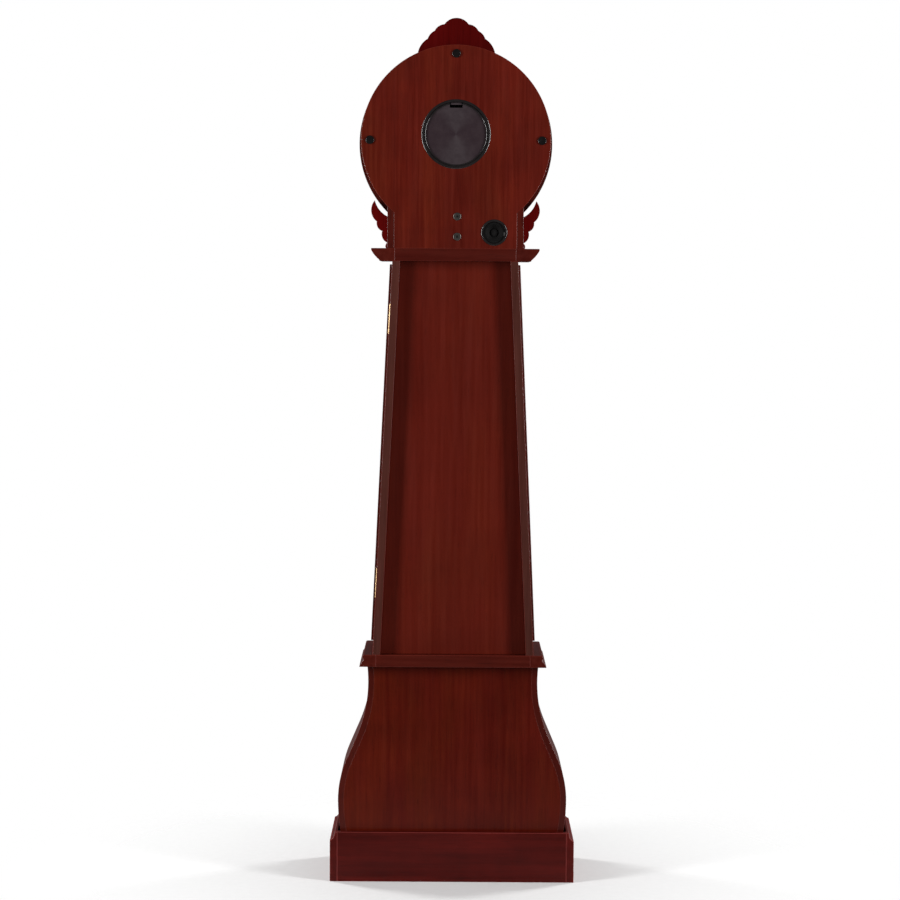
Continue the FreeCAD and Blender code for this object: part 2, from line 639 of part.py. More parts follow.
def build_door(hinge_beds):
    """Two leaning stiles, two rails, the glass with its beads, and the knob."""
    opening_low = f"({DOOR_LOW} + door_rail_low)"
    opening_top = f"({DOOR_TOP} - door_rail_high)"
    rebate_low = f"({opening_low} - rebate_width)"
    rebate_top = f"({opening_top} + rebate_width)"

    def stile(label):
        body = plate(label, leaning_strip(door_half, stile_inner, DOOR_LOW, DOOR_TOP), DOOR_BACK,
                     "door_thick")
        recess(body, leaning_strip(rebate_edge, stile_inner, rebate_low, rebate_top), DOOR_BACK,
               "rebate_depth")
        return body

    keep(cut("door_hinge_stile", stile("hinge_stile_blank"), *hinge_beds))
    keep(mirrored(stile("latch_stile_blank"), "door_latch_stile"))
    low_rail = plate("door_low_rail", cross_piece(DOOR_LOW, opening_low, stile_inner), DOOR_BACK,
                     "door_thick")
    recess(low_rail, cross_piece(rebate_low, opening_low, stile_inner), DOOR_BACK, "rebate_depth")
    top_rail = plate("door_top_rail", cross_piece(opening_top, DOOR_TOP, stile_inner), DOOR_BACK,
                     "door_thick")
    recess(top_rail, cross_piece(opening_top, rebate_top, stile_inner), DOOR_BACK, "rebate_depth")
    keep(group("door_rails", low_rail, top_rail))

    glass_low = f"({rebate_low} + glass_play)"
    glass_top = f"({rebate_top} - glass_play)"
    glass_back = f"({DOOR_BACK} + rebate_depth - glass_thick)"
    keep(plate("door_glass", cross_piece(glass_low, glass_top, glass_half), glass_back,
               "glass_thick"))

    def bead_inner(level):
        return f"({stile_inner(level)} + bead_set_back)"

    bead_low = f"({opening_low} - bead_set_back)"
    bead_top = f"({opening_top} + bead_set_back)"
    bead_thick = "rebate_depth - glass_thick"
    long_bead = plate("long_bead", leaning_strip(rebate_edge, bead_inner, rebate_low, rebate_top),
                      DOOR_BACK, bead_thick)
    low_bead = plate("low_bead", cross_piece(rebate_low, bead_low, bead_inner), DOOR_BACK,
                     bead_thick)
    top_bead = plate("top_bead", cross_piece(bead_top, rebate_top, bead_inner), DOOR_BACK,
                     bead_thick)
    keep(group("door_glass_beads", long_bead, mirrored(long_bead, "long_bead_opposite"), low_bead,
               top_bead))

    knob_z = f"({DOOR_LOW} + knob_rise)"
    ball = f"({DOOR_FRONT} + knob_length - knob_radius)"
    keep(turned("door_knob", [
        (DOOR_FRONT, "0"), (DOOR_FRONT, "knob_base"),
        (f"{DOOR_FRONT} + knob_rose", "knob_base"),
        (f"{DOOR_FRONT} + 1.5 * knob_rose", "knob_neck"),
        (f"{ball} - sqrt(knob_radius^2 - knob_neck^2)", "knob_neck", ball, "knob_radius"),
        (f"{ball} + knob_radius", "0")],
        x=f"-({door_half(knob_z)} - stile_width / 2)", z=knob_z))


# ----------------------------------------------------------------- the hinges

KNUCKLE = "(hinge_length / 5)"


def lean(thing, rise):
    """Stand a hinge part, made about its own pin, on the leaning hinge line."""
    level = f"({DOOR_LOW} + {rise})"
    thing.Placement = FreeCAD.Placement(vec(0, 0, 0), FreeCAD.Rotation(vec(0, -1, 0), 1))
    tie(thing, "Placement.Rotation.Angle", TAPER_ANGLE)
    tie(thing, "Placement.Base.x", f"{trunk_half(level)} + hinge_stand")
    tie(thing, "Placement.Base.y", at_depth("trunk_depth + door_gap / 2"))
    tie(thing, "Placement.Base.z", level)
    return thing


def local_box(label, x, y, z):
    """Box in a hinge's own frame: X outward, Y to the back, Z along the pin."""
    box = doc.addObject("Part::Box", label)
    for name, (low, high) in (("Length", x), ("Width", y), ("Height", z)):
        tie(box, name, f"({high}) - ({low})")
    for axis, (low, _) in zip("xyz", (x, y, z)):
        tie(box, f"Placement.Base.{axis}", low)
    return box


def local_rod(label, radius, z):
    """Rod along a hinge's pin line, in the hinge's own frame."""
    rod = doc.addObject("Part::Cylinder", label)
    tie(rod, "Radius", radius)
    tie(rod, "Height", f"({z[1]}) - ({z[0]})")
    tie(rod, "Placement.Base.z", z[0])
    return rod


def hinge_leaf(label, rise, seats, sign, bore, gap):
    """One leaf: a plate, and the knuckles that stand on the given fifths of its length."""
    low = "(-hinge_length / 2)"
    near, far = "(door_gap / 2)", "(door_gap / 2 + leaf_thick)"
    across = (near, far) if sign > 0 else (f"-{far}", f"-{near}")
    parts = [local_box(label + "_plate", ("-hinge_stand - leaf_width", "-hinge_stand - leaf_play"),
                       across, (low, "hinge_length / 2"))]
    for seat in seats:
        span = (f"{low} + {seat} * {KNUCKLE} + {gap}", f"{low} + {seat + 1} * {KNUCKLE} - {gap}")
        parts.append(local_box(f"{label}_tongue{seat}", ("-hinge_stand - 2 * leaf_play", "0"), across,
                               span))
        parts.append(local_rod(f"{label}_knuckle{seat}", "knuckle_radius", span))
    solid = join(label + "_blank", *parts)
    hole = local_rod(label + "_bore", bore, (low, "hinge_length / 2"))
    return lean(cut(label, solid, hole), rise)


def hinge_bed(label, rise, sign):
    """Tool that lets a leaf in flush with the face that it is screwed to."""
    near, far = "(-door_gap / 2)", "(door_gap / 2 + leaf_thick)"
    across = (near, far) if sign > 0 else (f"-{far}", f"-{near}")
    bed = local_box(label + "_block", ("-hinge_stand - leaf_width", "0"), across,
                    ("-hinge_length / 2", "hinge_length / 2"))
    return lean(group(label, bed), rise)


def build_hinges():
    """Two brass butt hinges on one leaning line; returns the beds cut for their leaves."""
    leaves = {"case": [], "door": []}
    beds = {"case": [], "door": []}
    hinge_pins = []
    for name, rise in (("lower", "hinge_low_rise"), ("upper", "hinge_high_rise")):
        leaves["case"].append(hinge_leaf(f"{name}_case_leaf", rise, (0, 2, 4), 1,
                                         "hinge_pin_radius", "0"))
        leaves["door"].append(hinge_leaf(f"{name}_door_leaf", rise, (1, 3), -1,
                                         "hinge_pin_radius + pin_play", "knuckle_gap"))
        beds["case"].append(hinge_bed(f"{name}_case_bed", rise, 1))
        beds["door"].append(hinge_bed(f"{name}_door_bed", rise, -1))
        notch = local_rod(f"{name}_notch_rod", "notch_radius",
                          ("-hinge_length / 2 - pin_head - over",
                           "hinge_length / 2 + pin_head + over"))
        beds["door"].append(lean(group(f"{name}_barrel_notch", notch), rise))
        ends = [local_rod(f"{name}_pin_head", "knuckle_radius",
                          ("hinge_length / 2", "hinge_length / 2 + pin_head")),
                local_rod(f"{name}_pin_foot", "knuckle_radius",
                          ("-hinge_length / 2 - pin_head", "-hinge_length / 2"))]
        shank = local_rod(f"{name}_pin_shank", "hinge_pin_radius",
                          ("-hinge_length / 2", "hinge_length / 2"))
        hinge_pins.append(lean(join(f"{name}_hinge_pin", shank, *ends), rise))
    keep(group("hinge_case_leaves", *leaves["case"]))
    keep(group("hinge_door_leaves", *leaves["door"]))
    keep(group("hinge_pins", *hinge_pins))
    return beds


# ---------------------------------------------------------------- the cornice

def build_cornice():
    """Flaring moulding, its back rail and the seat board that the hood stands on."""
    reach = "(cornice_half - cornice_inner_half)"
    profile = [("0", CORNICE_LOW), ("cornice_reach_low", CORNICE_LOW),
               ("cornice_reach_low", f"{CORNICE_LOW} + quirk",
                f"cornice_reach_low + ({reach} - cornice_reach_low) * 0.6",
                f"{CORNICE_LOW} + (cornice_height - cornice_lip + quirk) / 2"),
               (reach, f"{CORNICE_TOP} - cornice_lip"), (reach, CORNICE_TOP), ("0", CORNICE_TOP)]
    three_sided_moulding("cornice", profile, "cornice_inner_half", "cornice_depth", reach,
                         ("moulding", "mouldings"))
    across = ("-cornice_inner_half", "cornice_inner_half")
    keep(block("cornice_back_rail", across, ("0", "board"), (CORNICE_LOW, CORNICE_TOP)))
    seat = block("seat_blank", across, ("board", f"cornice_depth - {reach}"),
                 (f"{CORNICE_TOP} - seat_thick", CORNICE_TOP))
    slot = block("seat_slot", ("-seat_slot_half", "seat_slot_half"),
                 (f"{ROD_DEPTH} - seat_slot_room", f"{ROD_DEPTH} + seat_slot_room"),
                 (f"{CORNICE_TOP} - 2 * seat_thick", f"{CORNICE_TOP} + seat_thick"))
    keep(cut("hood_seat_board", seat, slot))


# ------------------------------------------------------------------- the hood

def keyhole_outline(neck):
    """Circle of the hood standing on a straight neck of a given half width."""
    shoulder = f"({DIAL_Z} - sqrt(hood_radius^2 - ({neck})^2))"
    return [(neck, CORNICE_TOP), (neck, shoulder, "0", f"{DIAL_Z} + hood_radius"),
            (f"-{neck}", shoulder), (f"-{neck}", CORNICE_TOP)]


def build_hood():
    """Drum on a neck, closed by a back panel and a front board that carries the bezel."""
    back = plate("hood_back_panel", keyhole_outline("(neck_half - neck_board)"), "0", "hood_panel")
    drill(back, "0", f"{DIAL_Z} + port_rise", "port_radius + port_wall")
    drill(back, "speaker_x", f"{CORNICE_TOP} + speaker_rise", "speaker_bore")
    for rise in ("bolt_low_rise", "bolt_high_rise"):
        drill(back, "bolt_x", f"{CORNICE_TOP} + {rise}", "bolt_radius")
    keep(back)

    front = plate("hood_front_board", keyhole_outline("neck_half"), DIAL_FACE, "hood_board")
    drill(front, "0", DIAL_Z, "dial_opening")
    keep(front)

    drum = turned("drum_ring", [("hood_panel", "hood_radius - drum_wall"),
                                (DIAL_FACE, "hood_radius - drum_wall"), (DIAL_FACE, "hood_radius"),
                                ("hood_panel", "hood_radius")])
    throat = block("drum_throat", ("-neck_half + neck_board", "neck_half - neck_board"),
                   ("0", "hood_depth"), (CORNICE_TOP, DIAL_Z))
    keep(cut("hood_drum", drum, throat))

    side = block("neck_board_blank", ("neck_half - neck_board", "neck_half"), ("0", DIAL_FACE),
                 (CORNICE_TOP, DIAL_Z))
    round_tool = rod_along_y("neck_scribe", "hood_radius", ("-over", "hood_depth"))
    keep(pair("neck_sides", cut("neck_side", side, round_tool)))

    face = "hood_depth"
    crown = "(hood_depth + bezel_depth)"
    diagonal = "sqrt(0.5)"
    keep(turned("hood_bezel", [
        (face, "glass_seat"), (face, "bezel_radius"),
        (f"{crown} - bezel_round", "bezel_radius",
         f"{crown} - bezel_round * (1 - {diagonal})",
         f"bezel_radius - bezel_round * (1 - {diagonal})"),
        (crown, "bezel_radius - bezel_round"),
        (crown, "bezel_opening + bezel_bead + bezel_cove",
         f"{crown} - bezel_cove * {diagonal}",
         f"bezel_opening + bezel_bead + bezel_cove * {diagonal}"),
        (f"{crown} - bezel_cove", "bezel_opening + bezel_bead"),
        (f"{crown} - bezel_cove", "bezel_opening"), (f"{face} + glass_thick", "bezel_opening"),
        (f"{face} + glass_thick", "glass_seat")]))
    keep(turned("dial_glass", [(face, "0"), (face, "glass_seat"),
                               (f"{face} + glass_thick", "glass_seat"),
                               (f"{face} + glass_thick", "0")]))
    build_crest()
    build_ears()


def build_crest():
    """Shell-shaped crest: a middle lobe with three smaller lobes falling away each side."""
    def lobe(across, up):
        return f"({across} * crest_half)", f"({DIAL_Z} + crest_rise - {up} * crest_half)"

    foot = ("crest_foot_half", f"({DIAL_Z} + sqrt(hood_radius^2 - crest_foot_half^2))")
    side = [
        foot, (*lobe(1.0, 0.88), *lobe(0.905, 0.68)), (*lobe(0.75, 0.54), *lobe(0.69, 0.43)),
        (*lobe(0.57, 0.335), *lobe(0.478, 0.225)), (*lobe(0.316, 0.165), *lobe(0, 0)),
    ]
    outline = side + turned_back(negated(side))
    outline[-1] = (*outline[-1], "0", f"({DIAL_Z} + hood_radius)")
    keep(plate("crest", outline, DIAL_FACE, "hood_board"))


def build_ears():
    """Leaf-shaped brackets that stand on the cornice against the neck."""
    def at(across, up):
        return f"(neck_half + {across} * ear_reach)", f"({CORNICE_TOP} + {up} * ear_rise)"

    corners = [
        at(0, 0), (*at(0.13, 0), *at(0.2, 0.06)), (*at(0.1, 0.13), *at(0.32, 0.2)),
        (*at(0.38, 0.37), *at(0.62, 0.44)), (*at(0.68, 0.565), *at(0.99, 0.77)),
        (*at(0.795, 1.0), *at(0.5, 0.79)), at(0, 0.655),
    ]
    keep(pair("scroll_ears", plate("scroll_ear", corners, DIAL_FACE, "hood_board")))


# ------------------------------------------------------- dial, hands and train

def clock_hand(label, angle, depth, corners, thick, hub, bore):
    """A hand drawn upright about the dial's centre, then swung to its angle."""
    body = new_body(label)
    sketch = sketch_on(body, "XZ_Plane", label + "_outline")
    draw_outline(sketch, corners)
    pad = body.newObject("PartDesign::Pad", label + "_pad")
    pad.Profile = sketch
    tie(pad, "Length", thick)
    boss = sketch_on(body, "XZ_Plane", label + "_hub")
    draw_circle(boss, "0", "0", hub)
    boss_pad = body.newObject("PartDesign::Pad", label + "_hub_pad")
    boss_pad.Profile = boss
    tie(boss_pad, "Length", f"1.5 * ({thick})")
    drill(body, "0", "0", bore)
    body.Placement = FreeCAD.Placement(vec(0, 0, 0), FreeCAD.Rotation(vec(0, 1, 0), 10))
    tie(body, "Placement.Rotation.Angle", angle)
    tie(body, "Placement.Base.y", at_depth(depth))
    tie(body, "Placement.Base.z", DIAL_Z)
    return body


def hand_outline(length, width):
    """Spade hand: a stem, a leaf two thirds of the way out and a fine tip."""
    def at(across, up):
        return f"({across} * {width})", f"({up} * {length})"

    right = [at(0.16, -0.14), at(0.14, 0.56), (*at(0.16, 0.6), *at(0.5, 0.68)), at(0.1, 0.8)]
    return [*right, at(0, 1), *turned_back(negated(right))]


def gear_shape(teeth, first_angle, bore, thick):
    """Spur wheel about Y with involute flanks, from its tooth count and the sheet's module."""
    module = value("gear_module")
    pitch = module * teeth / 2
    pressure = math.radians(20)
    addendum, dedendum = 0.75 * module, 1.1 * module
    base = pitch * math.cos(pressure)
    tip = pitch + addendum
    root = pitch - dedendum
    half_tooth = math.pi / (2 * teeth) - value("gear_backlash") / (2 * pitch)
    involute_at_pitch = math.tan(pressure) - pressure
    flank = []
    steps = 4
    for step in range(steps + 1):
        radius = max(base, root) + (tip - max(base, root)) * step / steps
        roll = math.acos(min(1.0, base / radius))
        flank.append((radius, half_tooth + involute_at_pitch - (math.tan(roll) - roll)))
    if root < base:
        flank.insert(0, (root, flank[0][1]))
    points = []
    for tooth in range(teeth):
        centre = math.radians(first_angle) + 2 * math.pi * tooth / teeth
        for radius, half in flank:
            points.append((radius, centre - half))
        for radius, half in reversed(flank):
            points.append((radius, centre + half))
    corners = [vec(r * math.cos(a), 0, r * math.sin(a)) for r, a in points]
    face = Part.Face(Part.makePolygon(corners + corners[:1]))
    wheel = face.extrude(vec(0, -thick, 0))
    return wheel.cut(Part.makeCylinder(bore, 3 * thick, vec(0, -2 * thick, 0), vec(0, 1, 0)))


def gear(label, teeth, first_angle, bore, depth, rise="0"):
    """Gear wheel placed on its arbor behind the dial."""
    wheel = doc.addObject("Part::Feature", label)
    wheel.Label = label
    wheel.Shape = gear_shape(int(value(teeth)), first_angle, value(bore), value("gear_thick"))
    wheel.Placement.Base = vec(0, value(at_depth(depth)), value(f"{DIAL_Z} + {rise}"))
    return wheel


def build_dial():
    """Dial board behind the hood's front board, and the brass ring that lines the opening."""
    dial = turned("dial_board", [
        (MOVEMENT_FRONT, "bush_radius"), (MOVEMENT_FRONT, "dial_radius"),
        (DIAL_FACE, "dial_radius"), (DIAL_FACE, "bush_radius")])
    keep(dial)
    keep(turned("dial_trim_ring", [
        (DIAL_FACE, "dial_opening - trim_ring"), (DIAL_FACE, "dial_opening"),
        ("hood_depth", "dial_opening"), ("hood_depth", "dial_opening - trim_ring")]))


def build_movement():
    """Battery movement: a case with its bays, the cover, the nut and two cells."""
    half, tall = "movement_half_width", "movement_half_height"
    blank = block("movement_blank", (f"-{half}", half), (MOVEMENT_BACK, MOVEMENT_FRONT),
                  (f"{DIAL_Z} - {tall}", f"{DIAL_Z} + {tall}"))
    bush = rod_along_y("movement_bush", "bush_radius",
                       (MOVEMENT_FRONT, f"{MOVEMENT_FRONT} + bush_length"))
    post_end = f"({MOVEMENT_BACK} - leader_thick - post_proud)"
    post = rod_along_y("pendulum_post", "pivot_radius",
                       (post_end, MOVEMENT_BACK), z=PIVOT_Z)
    cap = rod_along_y("pendulum_post_cap", "pivot_radius * 2",
                      (f"{post_end} - post_cap", post_end), z=PIVOT_Z)
    chamber = block("train_chamber", ("-chamber_half", "chamber_half"),
                    (f"{MOVEMENT_BACK} - over", f"{MOVEMENT_FRONT} - movement_wall"),
                    (f"{DIAL_Z} - chamber_down", f"{DIAL_Z} + chamber_up"))
    bays = []
    room = "(battery_radius + battery_play)"
    for sign, name in ((1, "right"), (-1, "left")):
        middle = f"({sign} * battery_offset)"
        bays.append(block(f"{name}_bay", (f"{middle} - {room}", f"{middle} + {room}"),
                          (f"{MOVEMENT_BACK} - over", f"{MOVEMENT_BACK} + 2 * {room} + over"),
                          (f"{DIAL_Z} - battery_length / 2", f"{DIAL_Z} + battery_length / 2")))
    reach = "(switch_reach - switch_play)"
    slot = block("switch_slot",
                 (reach, f"{reach} + switch_length + switch_travel + 2 * switch_play"),
                 (f"{MOVEMENT_BACK} - over", f"{MOVEMENT_BACK} + switch_depth"),
                 (f"{DIAL_Z} + switch_rise - switch_height / 2 - switch_play",
                  f"{DIAL_Z} + switch_rise + switch_height / 2 + switch_play"))
    bore = rod_along_y("bush_bore", "tube_radius + pivot_play",
                       (f"{MOVEMENT_FRONT} - 2 * movement_wall",
                        f"{MOVEMENT_FRONT} + bush_length + over"))
    idler_pivot = rod_along_y("idler_front_pivot", "arbor_radius + pivot_play",
                              (f"{MOVEMENT_FRONT} - 2 * movement_wall", f"{MOVEMENT_FRONT} + over"),
                              z=f"{DIAL_Z} + {IDLER_RISE}")
    keep(cut("movement_case", join("movement_solid", blank, bush, post, cap), chamber, *bays,
             slot, bore, idler_pivot))

    cover = block("cover_blank", ("-chamber_half - cover_lap", "chamber_half + cover_lap"),
                  (f"{MOVEMENT_BACK} - movement_wall", MOVEMENT_BACK),
                  (f"{DIAL_Z} - chamber_down - cover_lap", f"{DIAL_Z} + chamber_up + cover_lap"))
    pivots = [rod_along_y(f"{name}_back_pivot", "arbor_radius + pivot_play",
                          (f"{MOVEMENT_BACK} - 2 * movement_wall", f"{MOVEMENT_BACK} + over"),
                          z=f"{DIAL_Z} + {rise}")
              for name, rise in (("centre", "0"), ("idler", IDLER_RISE))]
    keep(cut("movement_cover", cover, *pivots))

    nut = doc.addObject("Part::Prism", "nut_hexagon")
    nut.Polygon = 6
    nut.Placement = FreeCAD.Placement(vec(0, 0, 0), FreeCAD.Rotation(vec(1, 0, 0), -90))
    tie(nut, "Circumradius", "nut_radius")
    tie(nut, "Height", "nut_thick")
    tie(nut, "Placement.Base.y", at_depth(f"{DIAL_FACE} + nut_thick"))
    tie(nut, "Placement.Base.z", DIAL_Z)
    nut_bore = rod_along_y("nut_bore", "bush_radius", (DIAL_FACE, "hood_depth"))
    keep(cut("mounting_nut", nut, nut_bore))

    cells = []
    for sign, name in ((1, "right"), (-1, "left")):
        cells.append(upright_rod(f"{name}_cell", "battery_radius", f"{sign} * battery_offset",
                                 f"{MOVEMENT_BACK} + {room}",
                                 (f"{DIAL_Z} - battery_length / 2",
                                  f"{DIAL_Z} + battery_length / 2")))
    keep(group("batteries", *cells))

    base = block("switch_base", ("switch_reach", "switch_reach + switch_length"),
                 (MOVEMENT_BACK, f"{MOVEMENT_BACK} + switch_depth - switch_play"),
                 (f"{DIAL_Z} + switch_rise - switch_height / 2",
                  f"{DIAL_Z} + switch_rise + switch_height / 2"))
    stem = block("switch_stem", ("switch_reach + switch_shoulder",
                                 "switch_reach + switch_length - switch_shoulder"),
                 (f"{MOVEMENT_BACK} - switch_stem", MOVEMENT_BACK),
                 (f"{DIAL_Z} + switch_rise - switch_height / 3",
                  f"{DIAL_Z} + switch_rise + switch_height / 3"))
    keep(join("chime_switch", base, stem))


def build_train():
    """Centre arbor, idler with the setting knob, hour wheel, and the two hands."""
    first_plane = f"({MOVEMENT_BACK} + first_train)"
    second_plane = f"({MOVEMENT_BACK} + second_train)"
    arbor = rod_along_y("arbor_rod", "arbor_radius",
                        (f"{MOVEMENT_BACK} - movement_wall",
                         f"{MOVEMENT_FRONT} + bush_length + arbor_proud"))
    pinion = gear("centre_pinion", "centre_teeth", 90, "arbor_radius / 2", first_plane)
    keep(join("centre_arbor", arbor, pinion))

    idler_z = f"({DIAL_Z} + {IDLER_RISE})"
    knob_front = f"({MOVEMENT_BACK} - movement_wall - set_knob_gap)"
    socket = f"({knob_front} - set_knob_socket)"
    idler_rod = rod_along_y("idler_rod", "arbor_radius",
                            (socket, f"{MOVEMENT_FRONT} - end_play"), z=idler_z)
    half_pitch = 180 / value("idler_teeth")
    wheel = gear("idler_disc", "idler_teeth", 270 + half_pitch, "arbor_radius / 2", first_plane,
                 IDLER_RISE)
    small = gear("idler_pinion", "pinion_teeth", 270, "arbor_radius / 2", second_plane, IDLER_RISE)
    keep(join("idler_wheel", idler_rod, wheel, small))

    knob = turned("knob_blank", [
        (knob_front, "arbor_radius"), (knob_front, "set_knob_radius"),
        (f"{knob_front} - set_knob_length * 0.9", "set_knob_radius * 0.92"),
        (f"{knob_front} - set_knob_length", "set_knob_radius * 0.75"),
        (f"{knob_front} - set_knob_length", "0"), (socket, "0"),
        (socket, "arbor_radius")], z=idler_z)
    keep(group("setting_knob", knob))

    tube_front = f"({MOVEMENT_FRONT} + bush_length + tube_proud)"
    tube = rod_along_y("hour_tube_blank", "tube_radius", (second_plane, tube_front))
    disc = gear("hour_disc", "hour_teeth", 90 + 180 / value("hour_teeth"), "arbor_radius",
                second_plane)
    bore = rod_along_y("hour_tube_bore", "arbor_radius + pivot_play",
                       (f"{second_plane} - over", f"{tube_front} + over"))
    keep(cut("hour_wheel", join("hour_wheel_blank", tube, disc), bore))

    keep(clock_hand("hour_hand", "hour_angle", f"{tube_front} - hour_seat",
                    hand_outline("hour_length", "hour_width"), "hand_thick", "hour_hub",
                    "tube_radius"))
    keep(clock_hand("minute_hand", "minute_angle", f"{tube_front} + minute_seat",
                    hand_outline("minute_length", "minute_width"), "hand_thick", "minute_hub",
                    "arbor_radius"))


def build_pendulum():
    """Leader on the movement's post, rod, lens-shaped bob and rating nut."""
    leader_front = f"({MOVEMENT_BACK} - leader_gap)"
    leader_back = f"({leader_front} - leader_thick)"
    foot = f"({PIVOT_Z} - leader_length)"
    strip = block("leader_strip", ("-leader_width / 2", "leader_width / 2"),
                  (leader_back, leader_front), (foot, PIVOT_Z))
    eye = rod_along_y("leader_eye", "leader_width / 2", (leader_back, leader_front), z=PIVOT_Z)
    bore = rod_along_y("leader_bore", "pivot_radius + pivot_play",
                       (f"{leader_back} - over", f"{leader_front} + over"), z=PIVOT_Z)
    keep(cut("pendulum_leader", join("leader_blank", strip, eye), bore))

    middle = ROD_DEPTH
    rod_top = f"({foot} + rod_lap)"
    bob_z = f"({rod_top} - rod_length)"
    tail = f"({bob_z} - bob_radius - rod_tail)"
    rod = block("pendulum_rod", ("-rod_width / 2", "rod_width / 2"),
                (f"{middle} - rod_thick / 2", f"{middle} + rod_thick / 2"), (tail, rod_top))
    keep(rod)

    dome = "(bob_radius^2 + bob_dome^2) / (2 * bob_dome)"
    dip = f"({dome} - sqrt(({dome})^2 - bob_radius^2 / 4))"
    brim = f"({middle} + bob_rim / 2)"
    lens = turned("bob_lens", [
        (f"{middle} - bob_rim / 2", "0"), (f"{middle} - bob_rim / 2", "bob_radius"),
        (brim, "bob_radius", f"{brim} + bob_dome - {dip}", "bob_radius / 2"),
        (f"{brim} + bob_dome", "0")], z=bob_z)
    keep(cut("pendulum_bob", lens, rod))
    keep(upright_rod("rating_nut", "rod_width * 0.6", "0", middle,
                     (f"{tail} - nut_length", tail)))


# ------------------------------------------- fittings on the back of the hood

def build_back_fittings():
    """Access port and cover, chime speaker, wall bumpers and the connector bolts."""
    port_z = f"({DIAL_Z} + port_rise)"
    keep(turned("access_ring", [
        ("-port_proud", "port_radius"), ("-port_proud", "port_flange"), ("0", "port_flange"),
        ("0", "port_radius + port_wall"), ("hood_panel", "port_radius + port_wall"),
        ("hood_panel", "port_radius - port_lip"),
        ("hood_panel - port_shelf", "port_radius - port_lip"),
        ("hood_panel - port_shelf", "port_radius")], z=port_z))
    seat = "(hood_panel - port_shelf - cover_play)"
    rim = "(port_radius - cover_play)"
    back = f"({seat} - cover_thick)"
    cover = turned("access_cover", [
        (back, "0"), (back, f"{rim} - cover_dish"),
        (f"{back} - cover_rim", f"{rim} - cover_dish * 0.8"), (f"{back} - cover_rim", rim),
        (seat, rim), (seat, "0")], z=port_z)
    recess(cover, rectangle("-tab_half", "tab_half", f"{port_z} + {rim} - tab_drop",
                            f"{port_z} + {rim} - tab_drop * 0.45"),
           f"{back} - cover_rim - over", "cover_rim + over + tab_depth")
    keep(cover)

    speaker_z = f"({CORNICE_TOP} + speaker_rise)"
    inside = "(speaker_bore - speaker_wall)"
    magnet_back = "(speaker_depth - magnet_depth)"
    keep(turned("speaker_frame", [
        ("-speaker_proud", "speaker_radius - speaker_wall"), ("0", "speaker_radius"),
        ("0", "speaker_bore"), ("hood_panel", "speaker_bore"),
        (f"{magnet_back} - speaker_wall", "speaker_magnet"),
        ("speaker_depth", "speaker_magnet"), ("speaker_depth", "0"), (magnet_back, "0"),
        (magnet_back, "speaker_magnet - 2 * speaker_wall"),
        (f"{magnet_back} - 2 * speaker_wall", "speaker_magnet - 1.5 * speaker_wall"),
        ("hood_panel - speaker_wall / 2", inside), ("-speaker_proud", inside)],
        x="speaker_x", z=speaker_z))
    apex = "(speaker_depth - cone_apex)"
    keep(turned("speaker_cone", [
        ("surround_roll", inside), ("surround_roll + cone_thick / 2", inside),
        ("surround_roll + cone_thick", f"{inside} - surround_roll"),
        (apex, "speaker_magnet / 2 - cone_thick"), (f"{apex} - cone_thick", "0"),
        (f"{apex} - 2 * cone_thick", "0"),
        (f"{apex} - cone_thick", "(speaker_magnet - cone_thick) / 2"),
        ("surround_roll", f"{inside} - surround_roll + cone_thick / 4")],
        x="speaker_x", z=speaker_z))

    bumpers = []
    for name, x, z in (("top", "0", f"{DIAL_Z} + hood_radius - bumper_inset"),
                       ("right", "hood_radius - bumper_inset", DIAL_Z),
                       ("left", "-hood_radius + bumper_inset", DIAL_Z)):
        bumpers.append(turned(f"{name}_bumper", [
            ("0", "0"), ("-bumper_proud", "0"), ("-bumper_proud", "bumper_radius - bumper_round"),
            ("-bumper_proud + bumper_round", "bumper_radius"), ("0", "bumper_radius")],
            x=x, z=z))
    keep(group("wall_bumpers", *bumpers))

    bolts = []
    holes = []
    for name, rise in (("lower", "bolt_low_rise"), ("upper", "bolt_high_rise")):
        bolt_z = f"({CORNICE_TOP} + {rise})"
        bolts.append(turned(f"{name}_bolt", [
            ("bolt_length", "0"), ("-bolt_proud", "0"), ("-bolt_proud", "bolt_head - bolt_round"),
            ("-bolt_proud / 2", "bolt_head"), ("0", "bolt_head"), ("0", "bolt_radius"),
            ("bolt_length", "bolt_radius")], x="bolt_x", z=bolt_z))
        holes.append(rod_along_y(f"{name}_bolt_hole", "bolt_radius", ("0", "bolt_length + over"),
                                 x="bolt_x", z=bolt_z))
    keep(group("connector_bolts", *bolts))
    wood = block("fixing_blank", ("-block_half", "block_half"),
                 ("hood_panel", "hood_panel + block_depth"),
                 (f"{CORNICE_TOP} + block_low", f"{CORNICE_TOP} + bolt_high_rise + block_above"))
    keep(cut("fixing_block", wood, *holes))


# ------------------------------------------------------------- build and write

def check_document():
    """Stop if any object failed, or any sub-part has no valid solid."""
    for thing in doc.Objects:
        if "Invalid" in thing.State or "Error" in thing.State:
            raise RuntimeError(f"{thing.Label} failed: {thing.State}")
    for piece in pieces:
        if piece.Shape.isNull() or not piece.Shape.isValid() or not piece.Shape.Solids:
            raise RuntimeError(f"{piece.Label} has no valid solid")


def write_pieces():
    """Write each sub-part to a STEP file named after it."""
    os.makedirs("parts", exist_ok=True)
    for piece in pieces:
        piece.Shape.exportStep(f"parts/{piece.Label}.step")


build_plinth()
build_base()
build_sill()
beds = build_hinges()
build_trunk(beds["case"])
build_door(beds["door"])
build_cornice()
build_hood()
build_dial()
build_movement()
build_train()
build_pendulum()
build_back_fittings()
doc.recompute()
check_document()
write_pieces()
print(f"{len(pieces)} sub-parts written")
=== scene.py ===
"""Looks of a tall pendulum clock with a round hood, built round its packed working model.

All sizes are metres in the working model's own frame: X runs across, Y from the dial to the
back, and Z up from the floor.  Every place is read from the boxes of the model's nodes.
"""

